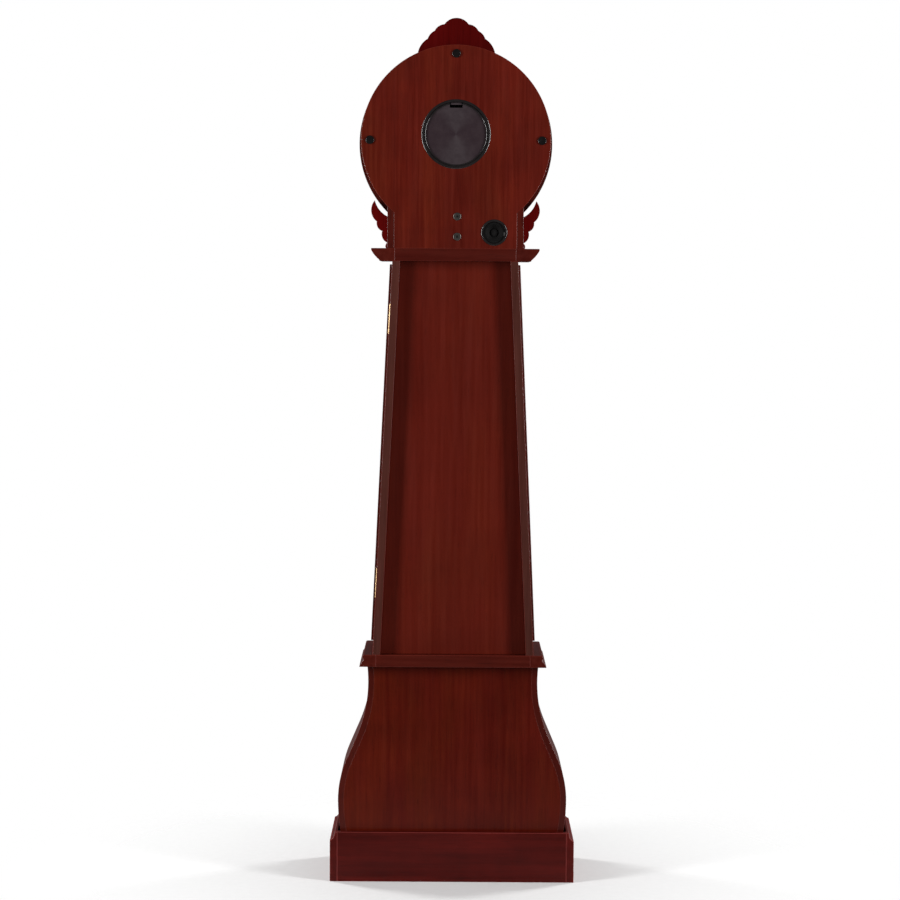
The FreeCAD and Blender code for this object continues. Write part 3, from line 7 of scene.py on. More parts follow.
import json
import logging
import math
from collections.abc import Callable, Sequence
from dataclasses import dataclass, replace
from enum import Enum
from functools import cache

import bmesh
import bpy
import numpy as np
from mathutils import Euler, Matrix, Vector
from mathutils.geometry import delaunay_2d_cdt


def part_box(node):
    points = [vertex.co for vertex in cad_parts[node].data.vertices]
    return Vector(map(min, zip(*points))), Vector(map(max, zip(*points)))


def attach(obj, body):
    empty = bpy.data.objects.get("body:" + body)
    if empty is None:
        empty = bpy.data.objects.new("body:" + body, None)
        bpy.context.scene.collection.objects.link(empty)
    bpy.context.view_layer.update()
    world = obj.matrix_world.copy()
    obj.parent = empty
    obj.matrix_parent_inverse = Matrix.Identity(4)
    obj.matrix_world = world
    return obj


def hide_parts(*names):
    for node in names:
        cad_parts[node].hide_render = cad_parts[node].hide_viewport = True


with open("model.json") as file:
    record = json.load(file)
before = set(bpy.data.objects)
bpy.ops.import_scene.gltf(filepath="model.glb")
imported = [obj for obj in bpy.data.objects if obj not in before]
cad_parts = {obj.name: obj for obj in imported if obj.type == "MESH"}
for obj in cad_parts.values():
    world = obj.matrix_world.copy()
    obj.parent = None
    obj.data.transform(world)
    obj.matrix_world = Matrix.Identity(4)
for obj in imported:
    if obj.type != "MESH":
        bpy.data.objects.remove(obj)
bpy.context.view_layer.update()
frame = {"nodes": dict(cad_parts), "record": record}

LOG = logging.getLogger("clock")
MM = 0.001
BODY_OF = {
    node: body
    for body, nodes in frame["record"]["behaviour"]["bodies"].items()
    for node in nodes
}
SLOT_OF = {name: node.data.materials[0].name for name, node in frame["nodes"].items()}

Colour = tuple[float, float, float]
Flat = tuple[float, float]
Radius = float | Callable[[float], float]
Ring = tuple[Radius, float]


# ---------------------------------------------------------------------------------------
# Node sheets: short calls for laying out a material
# ---------------------------------------------------------------------------------------


class NodeSheet:
    """A new material with one shader, and short calls for the nodes that feed it."""

    def __init__(self, name: str) -> None:
        """Starts an empty sheet with a shader joined to its output.

        Args:
            name: the material's name.
        """
        self.material = bpy.data.materials.new(name)
        self.material.use_nodes = True
        self.tree = self.material.node_tree
        self.tree.nodes.clear()
        self.output = self.node("ShaderNodeOutputMaterial")
        self.shader = self.node("ShaderNodeBsdfPrincipled")
        self.join(self.shader.outputs["BSDF"], self.output.inputs["Surface"])

    def node(self, kind: str, **settings: object) -> bpy.types.Node:
        """Adds one node.

        Args:
            kind: the node's type name.
            settings: properties to set on it.

        Returns:
            The new node.
        """
        made = self.tree.nodes.new(kind)
        for key, value in settings.items():
            setattr(made, key, value)
        return made

    def join(self, source: bpy.types.NodeSocket, target: bpy.types.NodeSocket) -> None:
        """Links one socket to another."""
        self.tree.links.new(source, target)

    def feed(self, target: bpy.types.NodeSocket, value: object) -> None:
        """Gives a socket its value.

        Args:
            target: the socket.
            value: another node's output, or a plain number or vector.
        """
        if isinstance(value, bpy.types.NodeSocket):
            self.join(value, target)
        else:
            target.default_value = value

    def setting(self, socket: str, value: object) -> None:
        """Feeds one of the shader's own sockets.

        Args:
            socket: the socket's name.
            value: another node's output, a number, a vector or a colour without its alpha.
        """
        if isinstance(value, tuple) and len(value) == 3:
            value = (*value, 1.0)
        self.feed(self.shader.inputs[socket], value)

    def maths(self, operation: str, first: object, second: object) -> bpy.types.NodeSocket:
        """Joins two values with a maths node.

        Args:
            operation: the maths node's operation.
            first: a socket or number.
            second: a socket or number.

        Returns:
            The result's socket.
        """
        made = self.node("ShaderNodeMath", operation=operation)
        self.feed(made.inputs[0], first)
        self.feed(made.inputs[1], second)
        return made.outputs[0]

    def place(self) -> bpy.types.NodeSocket:
        """The point being shaded, in the piece's own metres."""
        return self.node("ShaderNodeTexCoord").outputs["Object"]

    def shifted(self, point: bpy.types.NodeSocket, spread: float) -> bpy.types.NodeSocket:
        """Moves the pattern by an amount of each piece's own, so no two boards match.

        Args:
            point: the point to move.
            spread: the longest move, in metres.

        Returns:
            The moved point.
        """
        chance = self.node("ShaderNodeObjectInfo").outputs["Random"]
        move = self.node("ShaderNodeCombineXYZ")
        for axis in move.inputs:
            self.join(self.maths("MULTIPLY", chance, spread), axis)
        made = self.node("ShaderNodeVectorMath", operation="ADD")
        self.join(point, made.inputs[0])
        self.join(move.outputs[0], made.inputs[1])
        return made.outputs[0]

    def scaled(self, point: bpy.types.NodeSocket, scale: Sequence[float]) -> bpy.types.NodeSocket:
        """Stretches space by a factor along each axis.

        Args:
            point: the point to stretch.
            scale: the factor along X, Y and Z.

        Returns:
            The stretched point.
        """
        made = self.node("ShaderNodeMapping")
        self.join(point, made.inputs["Vector"])
        made.inputs["Scale"].default_value = scale
        return made.outputs[0]

    def polar(self, point: bpy.types.NodeSocket, hub: float) -> bpy.types.NodeSocket:
        """Turns a point into its radius, depth and arc round a fore-and-aft axis.

        Args:
            point: the point, with X across and Z up.
            hub: height of the axis.

        Returns:
            The radius, depth and arc in radians as one vector, cut open at the bottom.
        """
        parts = self.node("ShaderNodeSeparateXYZ")
        self.join(point, parts.inputs[0])
        rise = self.maths("SUBTRACT", parts.outputs["Z"], hub)
        across = parts.outputs["X"]
        squares = self.maths(
            "ADD", self.maths("MULTIPLY", across, across), self.maths("MULTIPLY", rise, rise)
        )
        made = self.node("ShaderNodeCombineXYZ")
        self.join(self.maths("POWER", squares, 0.5), made.inputs[0])
        self.join(parts.outputs["Y"], made.inputs[1])
        self.join(self.maths("ARCTAN2", across, rise), made.inputs[2])
        return made.outputs[0]

    def noise(
        self,
        point: bpy.types.NodeSocket,
        scale: float = 1.0,
        detail: float = 4.0,
        roughness: float = 0.55,
        warp: float = 0.0,
    ) -> bpy.types.NodeSocket:
        """Adds cloudy noise.

        Args:
            point: where it is read.
            scale: clouds in a metre.
            detail: how many finer layers it has.
            roughness: strength of the finer layers.
            warp: how far the clouds are pulled about.

        Returns:
            The noise, from 0 to 1.
        """
        made = self.node("ShaderNodeTexNoise")
        self.join(point, made.inputs["Vector"])
        made.inputs["Scale"].default_value = scale
        made.inputs["Detail"].default_value = detail
        made.inputs["Roughness"].default_value = roughness
        made.inputs["Distortion"].default_value = warp
        return made.outputs[0]

    def eased(
        self, value: bpy.types.NodeSocket, source: Flat, target: Flat
    ) -> bpy.types.NodeSocket:
        """Carries a value from one range to another.

        Args:
            value: the socket to read.
            source: the range that it has.
            target: the range that it gets.

        Returns:
            The new value, held inside its range.
        """
        made = self.node("ShaderNodeMapRange")
        self.join(value, made.inputs["Value"])
        for key, limit in zip(("From Min", "From Max", "To Min", "To Max"), (*source, *target)):
            made.inputs[key].default_value = limit
        return made.outputs[0]

    def ramp(
        self, value: bpy.types.NodeSocket, stops: Sequence[tuple[float, Colour]]
    ) -> bpy.types.NodeSocket:
        """Colours a value.

        Args:
            value: the socket to read.
            stops: places from 0 to 1, each with its colour.

        Returns:
            The colour's socket.
        """
        made = self.node("ShaderNodeValToRGB")
        self.join(value, made.inputs[0])
        marks = made.color_ramp.elements
        while len(marks) < len(stops):
            marks.new(0.5)
        for mark, (at, colour) in zip(marks, stops):
            mark.position = at
            mark.color = (*colour, 1.0)
        return made.outputs[0]

    def mixed(
        self, share: bpy.types.NodeSocket, first: bpy.types.NodeSocket, second: bpy.types.NodeSocket
    ) -> bpy.types.NodeSocket:
        """Blends two colours.

        Args:
            share: how much of the second colour shows, from 0 to 1.
            first: the colour at 0.
            second: the colour at 1.

        Returns:
            The blend's socket.
        """
        made = self.node("ShaderNodeMixRGB")
        self.join(share, made.inputs["Fac"])
        self.join(first, made.inputs["Color1"])
        self.join(second, made.inputs["Color2"])
        return made.outputs[0]

    def toned(
        self, colour: bpy.types.NodeSocket, strength: bpy.types.NodeSocket
    ) -> bpy.types.NodeSocket:
        """Brightens or darkens a colour by a factor that varies over the surface.

        Args:
            colour: the colour.
            strength: the factor.

        Returns:
            The new colour.
        """
        made = self.node("ShaderNodeHueSaturation")
        self.join(colour, made.inputs["Color"])
        self.join(strength, made.inputs["Value"])
        return made.outputs[0]

    def relief(self, height: bpy.types.NodeSocket, depth: float) -> None:
        """Dents the surface very slightly.

        Args:
            height: the pattern, from 0 to 1.
            depth: its full depth in metres.
        """
        made = self.node("ShaderNodeBump")
        self.join(height, made.inputs["Height"])
        made.inputs["Distance"].default_value = depth
        self.join(made.outputs[0], self.shader.inputs["Normal"])


# ---------------------------------------------------------------------------------------
# Finishes
# ---------------------------------------------------------------------------------------


class Grain(Enum):
    """Which way a board's fibres run: 1 for an axis across them and 0 for one along them."""

    UPRIGHT = (1.0, 1.0, 0.0)
    UPRIGHT_SIDE = (0.18, 1.0, 0.0)
    ACROSS = (0.0, 1.0, 1.0)
    FORE_AFT = (1.0, 0.0, 1.0)
    ROUND = (1.0, 1.0, 0.01)


@dataclass(frozen=True)
class Stain:
    """Stained and lacquered wood with fibres, figure, pores and a cloudy tone."""

    name: str
    light: Colour
    dark: Colour
    grain: Grain
    streaks: float = 85.0
    stretch: float = 26.0
    cloud: float = 0.1
    blush: float = 0.0
    roughness: float = 0.34
    shine: float = 0.26
    hub: float = 0.0
    pore_depth: float = 0.12 * MM
    figure_fineness: float = 0.16
    pore_fineness: float = 9.0
    fibre_share: float = 0.55
    tones: Flat = (0.36, 0.66)
    amber: Flat = (1.5, 0.7)
    pore_shade: float = 0.72

    def axes(self, finer: float) -> tuple[float, ...]:
        """Streaks in a metre along each axis, at a given fineness."""
        across = self.streaks * finer
        return tuple(across * w + across / self.stretch * (1 - w) for w in self.grain.value)

    def turned(self, grain: Grain) -> "Stain":
        """The same stain on a board that lies another way."""
        return replace(self, name=f"{self.name}_{grain.name.lower()}", grain=grain)

    def rubbed_and_highlit(self, lift: float = 1.75, grey: float = 0.006) -> "Stain":
        """The stain on an eased edge, made paler: partly worn wood, partly a painted highlight
        where the edge catches the lamps.

        Args:
            lift: how many times lighter it is, for the wear and the painted highlight together.
            grey: the same grey added to every channel, for bare wood showing through and for the
                pale painted highlight.

        Returns:
            The paler stain.
        """
        return replace(
            self,
            name=f"{self.name}_rubbed",
            light=tuple(c * lift + grey for c in self.light),
            dark=tuple(c * lift + grey for c in self.dark),
        )

    @cache
    def material(self) -> bpy.types.Material:
        """Lays out the wood's nodes.

        Returns:
            The material, made once for each stain.
        """
        sheet = NodeSheet(self.name)
        point = sheet.shifted(sheet.place(), spread=3.0)
        if self.grain is Grain.ROUND:
            point = sheet.polar(sheet.place(), self.hub)
        fibre = sheet.noise(sheet.scaled(point, self.axes(1.0)), detail=8.0, roughness=0.62)
        broad = sheet.scaled(point, self.axes(self.figure_fineness))
        figure = sheet.noise(broad, detail=3.0, warp=0.6)
        pores = sheet.noise(sheet.scaled(point, self.axes(self.pore_fineness)), detail=2.0)
        cloud = sheet.noise(point, scale=9.0, detail=3.0)
        streak = sheet.maths(
            "ADD",
            sheet.maths("MULTIPLY", fibre, self.fibre_share),
            sheet.maths("MULTIPLY", figure, 1.0 - self.fibre_share),
        )
        low, high = self.tones
        colour = sheet.ramp(streak, [(low, self.dark), (high, self.light)])
        if self.blush:
            red, green, blue = self.light
            warm = (red, green * self.amber[0], blue * self.amber[1])
            amber = sheet.ramp(streak, [(low, self.dark), (high, warm)])
            drift = sheet.noise(sheet.scaled(point, (9.0, 9.0, 3.2)), detail=6.0, warp=0.5)
            share = sheet.eased(drift, (0.4, 0.66), (0.0, self.blush))
            colour = sheet.mixed(share, colour, amber)
        shade = sheet.eased(cloud, (0.3, 0.7), (1.0 - self.cloud, 1.0 + self.cloud))
        specks = sheet.eased(pores, (0.3, 0.42), (self.pore_shade, 1.0))
        sheet.setting("Base Color", sheet.toned(colour, sheet.maths("MULTIPLY", shade, specks)))
        sheet.setting(
            "Roughness",
            sheet.eased(fibre, (0.3, 0.7), (self.roughness - 0.06, self.roughness + 0.08)),
        )
        sheet.setting("Specular IOR Level", self.shine)
        sheet.relief(sheet.maths("MULTIPLY", fibre, specks), self.pore_depth)
        return sheet.material


@dataclass(frozen=True)
class Metal:
    """Brass or steel with fine polishing lines and a breath of tarnish."""

    name: str
    colour: Colour
    tarnish: Colour
    roughness: float = 0.28
    lines: tuple[float, float, float] = (900.0, 900.0, 90.0)
    line_depth: float = 0.02 * MM
    line_share: float = 0.6
    wear: Flat = (0.75, 1.3)

    @cache
    def material(self) -> bpy.types.Material:
        """Lays out the metal's nodes.

        Returns:
            The material, made once for each metal.
        """
        sheet = NodeSheet(self.name)
        point = sheet.place()
        lines = sheet.noise(sheet.scaled(point, self.lines), detail=3.0)
        bloom = sheet.noise(point, scale=38.0, detail=5.0, roughness=0.6)
        sheet.setting("Base Color", sheet.ramp(bloom, [(0.3, self.tarnish), (0.55, self.colour)]))
        sheet.setting("Metallic", 1.0)
        worn = sheet.maths(
            "ADD",
            sheet.maths("MULTIPLY", lines, self.line_share),
            sheet.maths("MULTIPLY", bloom, 1.0 - self.line_share),
        )
        ends = tuple(self.roughness * factor for factor in self.wear)
        sheet.setting("Roughness", sheet.eased(worn, (0.3, 0.7), ends))
        sheet.relief(lines, self.line_depth)
        return sheet.material


@dataclass(frozen=True)
class Moulded:
    """Moulded plastic or rubber with a fine spark texture and a little dust."""

    name: str
    colour: Colour
    dust: Colour
    roughness: float = 0.38
    texture: float = 1600.0
    depth: float = 0.01 * MM
    turned: float = 0.0
    shine: float = 0.5
    dulled: float = 0.14

    @cache
    def material(self) -> bpy.types.Material:
        """Lays out the plastic's nodes.

        Returns:
            The material, made once for each plastic.
        """
        sheet = NodeSheet(self.name)
        point = sheet.place()
        spark = sheet.noise(point, scale=self.texture, detail=2.0)
        dust = sheet.noise(point, scale=55.0, detail=6.0, roughness=0.65)
        sheet.setting("Base Color", sheet.ramp(dust, [(0.35, self.colour), (0.75, self.dust)]))
        ends = (self.roughness, self.roughness + self.dulled)
        sheet.setting("Roughness", sheet.eased(dust, (0.3, 0.75), ends))
        sheet.setting("Specular IOR Level", self.shine)
        sheet.setting("Anisotropic", self.turned)
        if self.turned:
            around = sheet.node("ShaderNodeTangent", direction_type="RADIAL", axis="Y")
            sheet.setting("Tangent", around.outputs[0])
        sheet.relief(spark, self.depth)
        return sheet.material


@dataclass(frozen=True)
class Enamel:
    """Smooth baked paint with a faint ripple, a shade darker towards its rim."""

    name: str
    colour: Colour
    rim: Colour
    reach: float
    roughness: float = 0.26
    ageing: Flat = (0.55, 1.25)
    ripple: float = 0.03 * MM

    @cache
    def material(self) -> bpy.types.Material:
        """Lays out the enamel's nodes.

        Returns:
            The material, made once for each enamel.
        """
        sheet = NodeSheet(self.name)
        point = sheet.place()
        length = sheet.node("ShaderNodeVectorMath", operation="LENGTH")
        sheet.join(point, length.inputs[0])
        mottle = sheet.noise(point, scale=26.0, detail=5.0)
        cloudy = sheet.maths("MULTIPLY", mottle, self.reach / 4)
        away = sheet.maths("ADD", length.outputs["Value"], cloudy)
        age = sheet.eased(away, tuple(self.reach * share for share in self.ageing), (0.0, 1.0))
        sheet.setting("Base Color", sheet.ramp(age, [(0.0, self.colour), (1.0, self.rim)]))
        ends = (self.roughness - 0.05, self.roughness + 0.06)
        sheet.setting("Roughness", sheet.eased(mottle, (0.3, 0.7), ends))
        sheet.relief(sheet.noise(point, scale=240.0, detail=2.0), self.ripple)
        return sheet.material


@dataclass(frozen=True)
class Glass:
    """Thin clear glass: nearly all of what is behind it shows, under a clean reflection."""

    name: str
    tint: Colour = (0.05, 0.06, 0.055)
    body: float = 0.07
    bend: float = 1.52
    smears: Flat = (0.02, 0.07)

    @cache
    def material(self) -> bpy.types.Material:
        """Lays out the glass's nodes.

        Returns:
            The material, made once for each glass.
        """
        sheet = NodeSheet(self.name)
        smear = sheet.noise(sheet.place(), scale=14.0, detail=6.0)
        sheet.setting("Base Color", self.tint)
        sheet.setting("Alpha", self.body)
        sheet.setting("IOR", self.bend)
        sheet.setting("Roughness", sheet.eased(smear, (0.35, 0.75), self.smears))
        sheet.material.surface_render_method = "BLENDED"
        return sheet.material


@dataclass(frozen=True)
class Fibre:
    """Pressed paper or felt: matt, with short tangled fibres."""

    name: str
    colour: Colour
    light: Colour
    roughness: float = 0.85
    shine: float = 0.15
    nap: float = 0.15 * MM

    @cache
    def material(self) -> bpy.types.Material:
        """Lays out the fibre's nodes.

        Returns:
            The material, made once for each kind of paper.
        """
        sheet = NodeSheet(self.name)
        point = sheet.place()
        tangle = sheet.noise(point, scale=900.0, detail=5.0, roughness=0.7, warp=1.5)
        sheet.setting("Base Color", sheet.ramp(tangle, [(0.35, self.colour), (0.75, self.light)]))
        sheet.setting("Roughness", self.roughness)
        sheet.setting("Specular IOR Level", self.shine)
        sheet.relief(tangle, self.nap)
        return sheet.material


Finish = Stain | Metal | Moulded | Enamel | Glass | Fibre


@dataclass(frozen=True)
class Palette:
    """Every finish on the clock, by the thing that wears it."""

    case: Stain = Stain(
        "case_stain", (0.086, 0.0078, 0.0032), (0.052, 0.0036, 0.0016), Grain.ACROSS
    )
    panel: Stain = Stain(
        "panel_stain", (0.12, 0.0088, 0.0032), (0.072, 0.0042, 0.0014), Grain.UPRIGHT,
        streaks=150.0, cloud=0.14, blush=0.9,
    )
    waist: Stain = Stain(
        "waist_stain", (0.115, 0.0092, 0.0038), (0.085, 0.006, 0.0024), Grain.UPRIGHT,
        streaks=110.0, cloud=0.08, blush=0.4,
    )
    foot: Stain = Stain(
        "foot_stain", (0.098, 0.0068, 0.0026), (0.06, 0.003, 0.0012), Grain.UPRIGHT,
        streaks=120.0, cloud=0.16, blush=1.0, shine=0.16,
    )
    rail: Stain = Stain(
        "rail_stain", (0.098, 0.006, 0.004), (0.046, 0.0018, 0.001), Grain.ACROSS, streaks=70.0,
        cloud=0.16, shine=0.12,
    )
    board_edge: Stain = Stain(
        "board_edge_stain", (0.088, 0.024, 0.017), (0.052, 0.013, 0.009), Grain.UPRIGHT
    )
    carving: Stain = Stain(
        "carving_stain", (0.085, 0.0006, 0.0004), (0.058, 0.0003, 0.0002), Grain.UPRIGHT,
        cloud=0.06, roughness=0.28, shine=0.2,
    )
    leaf: Stain = Stain(
        "leaf_stain", (0.15, 0.0011, 0.0007), (0.105, 0.0006, 0.0004), Grain.UPRIGHT,
        cloud=0.06, roughness=0.28, shine=0.2,
    )
    inside: Stain = Stain(
        "inside_wood", (0.26, 0.12, 0.06), (0.16, 0.068, 0.034), Grain.ACROSS, roughness=0.7
    )
    brass: Metal = Metal("trim_brass_polished", (0.83, 0.6, 0.25), (0.62, 0.4, 0.15), 0.2)
    hinge: Metal = Metal("hinge_brass_satin", (0.66, 0.45, 0.24), (0.5, 0.31, 0.15), 0.34)
    steel: Metal = Metal("bright_steel", (0.62, 0.62, 0.61), (0.45, 0.44, 0.42), 0.3)
    bolt: Metal = Metal("bronzed_bolt", (0.19, 0.17, 0.155), (0.11, 0.1, 0.09), 0.36)
    cover: Moulded = Moulded(
        "cover_plastic", (0.027, 0.016, 0.02), (0.035, 0.022, 0.026), 0.4, turned=0.5, shine=0.36
    )
    ring: Moulded = Moulded(
        "ring_plastic", (0.008, 0.006, 0.006), (0.014, 0.011, 0.011), 0.13, depth=0.001 * MM,
        shine=0.9,
    )
    black: Moulded = Moulded("black_plastic_moulded", (0.01, 0.01, 0.011), (0.03, 0.028, 0.027))
    white: Moulded = Moulded("white_plastic_moulded", (0.72, 0.71, 0.67), (0.6, 0.58, 0.54), 0.3)
    rubber: Moulded = Moulded(
        "bumper_rubber_black", (0.004, 0.003, 0.003), (0.008, 0.007, 0.007), 0.12, texture=700.0,
        depth=0.002 * MM, shine=0.5,
    )
    jacket: Enamel = Enamel("cell_jacket_paint", (0.03, 0.036, 0.045), (0.02, 0.024, 0.03), 0.05)
    dial: Enamel = Enamel("dial_enamel", (0.78, 0.73, 0.6), (0.66, 0.58, 0.43), 0.165)
    hand: Enamel = Enamel("hand_paint_black", (0.012, 0.012, 0.013), (0.02, 0.02, 0.02), 0.1)
    ink: Enamel = Enamel("dial_ink", (0.014, 0.013, 0.013), (0.03, 0.026, 0.024), 0.165, 0.45)
    glass: Glass = Glass("float_glass")
    paper: Fibre = Fibre("cone_paper", (0.004, 0.0035, 0.0035), (0.01, 0.009, 0.009))


PALETTE = Palette()


# ---------------------------------------------------------------------------------------
# Placing pieces
# ---------------------------------------------------------------------------------------


@dataclass(frozen=True)
class Room:
    """The box that one node of the working model fills."""

    low: Vector
    high: Vector

    @classmethod
    def of(cls, node: str) -> "Room":
        """Reads the room of a node."""
        return cls(*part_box(node))

    @property
    def centre(self) -> Vector:
        """The middle of the room."""
        return (self.low + self.high) / 2

    @property
    def size(self) -> Vector:
        """The room's width, depth and height."""
        return self.high - self.low


@dataclass(frozen=True)
class Seat:
    """Where a new piece belongs: its body, its slot and the nodes that it stands for."""

    body: str
    slot: str
    stands_for: tuple[str, ...] = ()

    @classmethod
    def of(cls, *nodes: str) -> "Seat":
        """The seat of a piece that takes the place of these nodes."""
        return cls(BODY_OF[nodes[0]], SLOT_OF[nodes[0]], nodes)

    @classmethod
    def beside(cls, node: str, slot: str = "") -> "Seat":
        """The seat of a small extra that rides with a node and leaves it showing."""
        return cls(BODY_OF[node], slot or SLOT_OF[node])


def seated(piece: bpy.types.Object, seat: Seat) -> bpy.types.Object:
    """Puts a finished piece in the scene and ties it to its body.

    Args:
        piece: the new object.
        seat: where it belongs.

    Returns:
        The same object.
    """
    bpy.context.scene.collection.objects.link(piece)
    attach(piece, seat.body)
    if seat.stands_for:
        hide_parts(*seat.stands_for)
    LOG.info("%s rides on %s, %d faces", piece.name, seat.body, len(piece.data.polygons))
    return piece


def settled(
    name: str,
    form: bmesh.types.BMesh,
    finish: Finish,
    seat: Seat,
    at: Sequence[float] = (0.0, 0.0, 0.0),
    crease: float = 34.0,
) -> bpy.types.Object:
    """Turns a form into a dressed piece.

    Args:
        name: the piece's name.
        form: its mesh, which is used up.
        finish: what it is made of.
        seat: where it belongs.
        at: the place of its own origin.
        crease: faces that meet at more degrees than this keep a sharp edge.

    Returns:
        The piece.
    """
    bmesh.ops.recalc_face_normals(form, faces=form.faces)
    mesh = bpy.data.meshes.new(name)
    form.to_mesh(mesh)
    form.free()
    mesh.materials.append(finish.material())
    mesh.shade_smooth()
    mesh.set_sharp_from_angle(angle=math.radians(crease))
    piece = bpy.data.objects.new(name, mesh)
    piece.location = at
    return seated(piece, seat)


def dressed(node: str, finish: Finish) -> None:
    """Gives a node of the working model its finish and leaves its shape alone.

    Args:
        node: the node of the working model.
        finish: what it is made of.
    """
    mesh = frame["nodes"][node].data
    mesh.materials.clear()
    mesh.materials.append(finish.material())
    LOG.info("%s keeps its shape, in %s", node, finish.name)


# ---------------------------------------------------------------------------------------
# Making shapes
# ---------------------------------------------------------------------------------------


def bare_form(node: str) -> bmesh.types.BMesh:
    """Copies a node's shape into a new form, with its flat faces whole again.

    Args:
        node: the node of the working model.

    Returns:
        The form.
    """
    weld = 0.004 * MM
    flat = math.radians(0.6)
    source = frame["nodes"][node].data
    mesh = bpy.data.meshes.new(f"{node}_bare")
    mesh.from_pydata(
        [v.co for v in source.vertices], [], [tuple(p.vertices) for p in source.polygons]
    )
    form = bmesh.new()
    form.from_mesh(mesh)
    bpy.data.meshes.remove(mesh)
    bmesh.ops.remove_doubles(form, verts=form.verts, dist=weld)
    bmesh.ops.dissolve_limit(form, angle_limit=flat, verts=form.verts, edges=form.edges)
    return form


@dataclass(frozen=True)
class Easing:
    """How a piece's sharp edges are taken off."""

    width: float = 0.8 * MM
    steps: int = 2
    corner: float = 32.0

    def ease(
        self,
        node: str,
        finish: Finish,
        edge: Finish | None = None,
        back: Finish | None = None,
        name: str = "",
    ) -> bpy.types.Object:
        """Makes an eased copy of a node and lets it stand for the node.

        Args:
            node: the node of the working model.
            finish: what it is made of.
            edge: the finish of the eased edges, if it differs.
            back: the finish of the faces that look to the back, if it differs.
            name: the piece's name, if it isn't the node's own with "_eased" added.

        Returns:
            The piece.
        """
        name = name or f"{node}_eased"
        form = bare_form(node)
        straight_back = 0.98
        if back:
            for face in form.faces:
                face.material_index = 2 if face.normal.y > straight_back else 0
        mesh = bpy.data.meshes.new(name)
        form.to_mesh(mesh)
        form.free()
        for wear in (finish, edge or finish, back or finish):
            mesh.materials.append(wear.material())
        mesh.shade_smooth()
        piece = bpy.data.objects.new(name, mesh)
        bevel = piece.modifiers.new("eased_edges", "BEVEL")
        bevel.width = self.width
        bevel.segments = self.steps
        bevel.limit_method = "ANGLE"
        bevel.angle_limit = math.radians(self.corner)
        bevel.harden_normals = True
        bevel.use_clamp_overlap = False
        # the bevels take the edge finish; on the wood this is the paler stain, worn and painted
        # with a highlight
        bevel.material = 1
        return seated(piece, Seat.of(node))


def polygon_radius(sides: int, flat: float) -> Callable[[float], float]:
    """The radius of a polygon seen at any angle.

    Args:
        sides: how many sides it has.
        flat: the distance from its middle to a side.

    Returns:
        A function from angle to radius.
    """
    share = math.tau / sides
    return lambda angle: flat / math.cos(angle % share - share / 2)


def spin(
    form: bmesh.types.BMesh,
    rings: Sequence[Ring],
    steps: int = 96,
    hollow: bool = False,
    at: Flat = (0.0, 0.0),
) -> None:
    """Adds a turned shape whose axis runs fore and aft.

    Args:
        form: the form to add to.
        rings: radius and depth of each ring, in order; a radius of 0 is a point.
        steps: facets round the axis.
        hollow: True if the last ring joins the first, as on a hoop.
        at: where the axis stands, across and up.
    """
    loops = []
    for radius, depth in rings:
        if radius == 0.0:
            loops.append([form.verts.new((at[0], depth, at[1]))])
            continue
        loop = []
        for step in range(steps):
            angle = math.tau * step / steps
            reach = radius(angle) if callable(radius) else radius
            across = at[0] + reach * math.sin(angle)
            loop.append(form.verts.new((across, depth, at[1] + reach * math.cos(angle))))
        loops.append(loop)
    pairs = list(zip(loops, loops[1:]))
    if hollow:
        pairs.append((loops[-1], loops[0]))
    for near, far in pairs:
        for step in range(steps):
            after = (step + 1) % steps
            corners = [near[step % len(near)], near[after % len(near)]]
            corners += [far[after % len(far)], far[step % len(far)]]
            form.faces.new(list(dict.fromkeys(corners)))


def arc(centre: Flat, radius: float, start: float, end: float, steps: int = 6) -> list[Flat]:
    """Points of a turned shape's rounded profile.

    Args:
        centre: radius and depth of the rounding's own centre.
        radius: the rounding's radius.
        start: first angle in degrees, 0 outwards and 90 to the back.
        end: last angle in degrees.
        steps: how many chords it has.

    Returns:
        The points, as radius and depth.
    """
    points = []
    for step in range(steps + 1):
        angle = math.radians(start + (end - start) * step / steps)
        points.append((centre[0] + radius * math.cos(angle), centre[1] + radius * math.sin(angle)))
    return points


def turned_piece(
    name: str,
    rings: Sequence[Ring],
    finish: Finish,
    seat: Seat,
    at: Sequence[float],
    steps: int = 96,
    hollow: bool = False,
    crease: float = 34.0,
) -> bpy.types.Object:
    """Turns one profile into a dressed piece.

    Args:
        name: the piece's name.
        rings: radius and depth of each ring, in order.
        finish: what it is made of.
        seat: where it belongs.
        at: the place of its own origin, on its axis.
        steps: facets round the axis.
        hollow: True if the last ring joins the first, as on a hoop.
        crease: faces that meet at more degrees than this keep a sharp edge.

    Returns:
        The piece.
    """
    form = bmesh.new()
    spin(form, rings, steps=steps, hollow=hollow)
    return settled(name, form, finish, seat, at, crease)


def slab(form: bmesh.types.BMesh, outline: Sequence[Flat], front: float, back: float) -> None:
    """Adds a flat plate whose outline lies across and up.

    Args:
        form: the form to add to.
        outline: corners as across and up.
        front: depth of the front face.
        back: depth of the back face.
    """
    near = [form.verts.new((x, front, z)) for x, z in outline]
    far = [form.verts.new((x, back, z)) for x, z in outline]
    form.faces.new(near)
    form.faces.new(far[::-1])
    for index in range(len(outline)):
        after = (index + 1) % len(outline)
        form.faces.new((near[index], far[index], far[after], near[after]))


# ---------------------------------------------------------------------------------------
# Case: plinth, base, belts and trunk
# ---------------------------------------------------------------------------------------


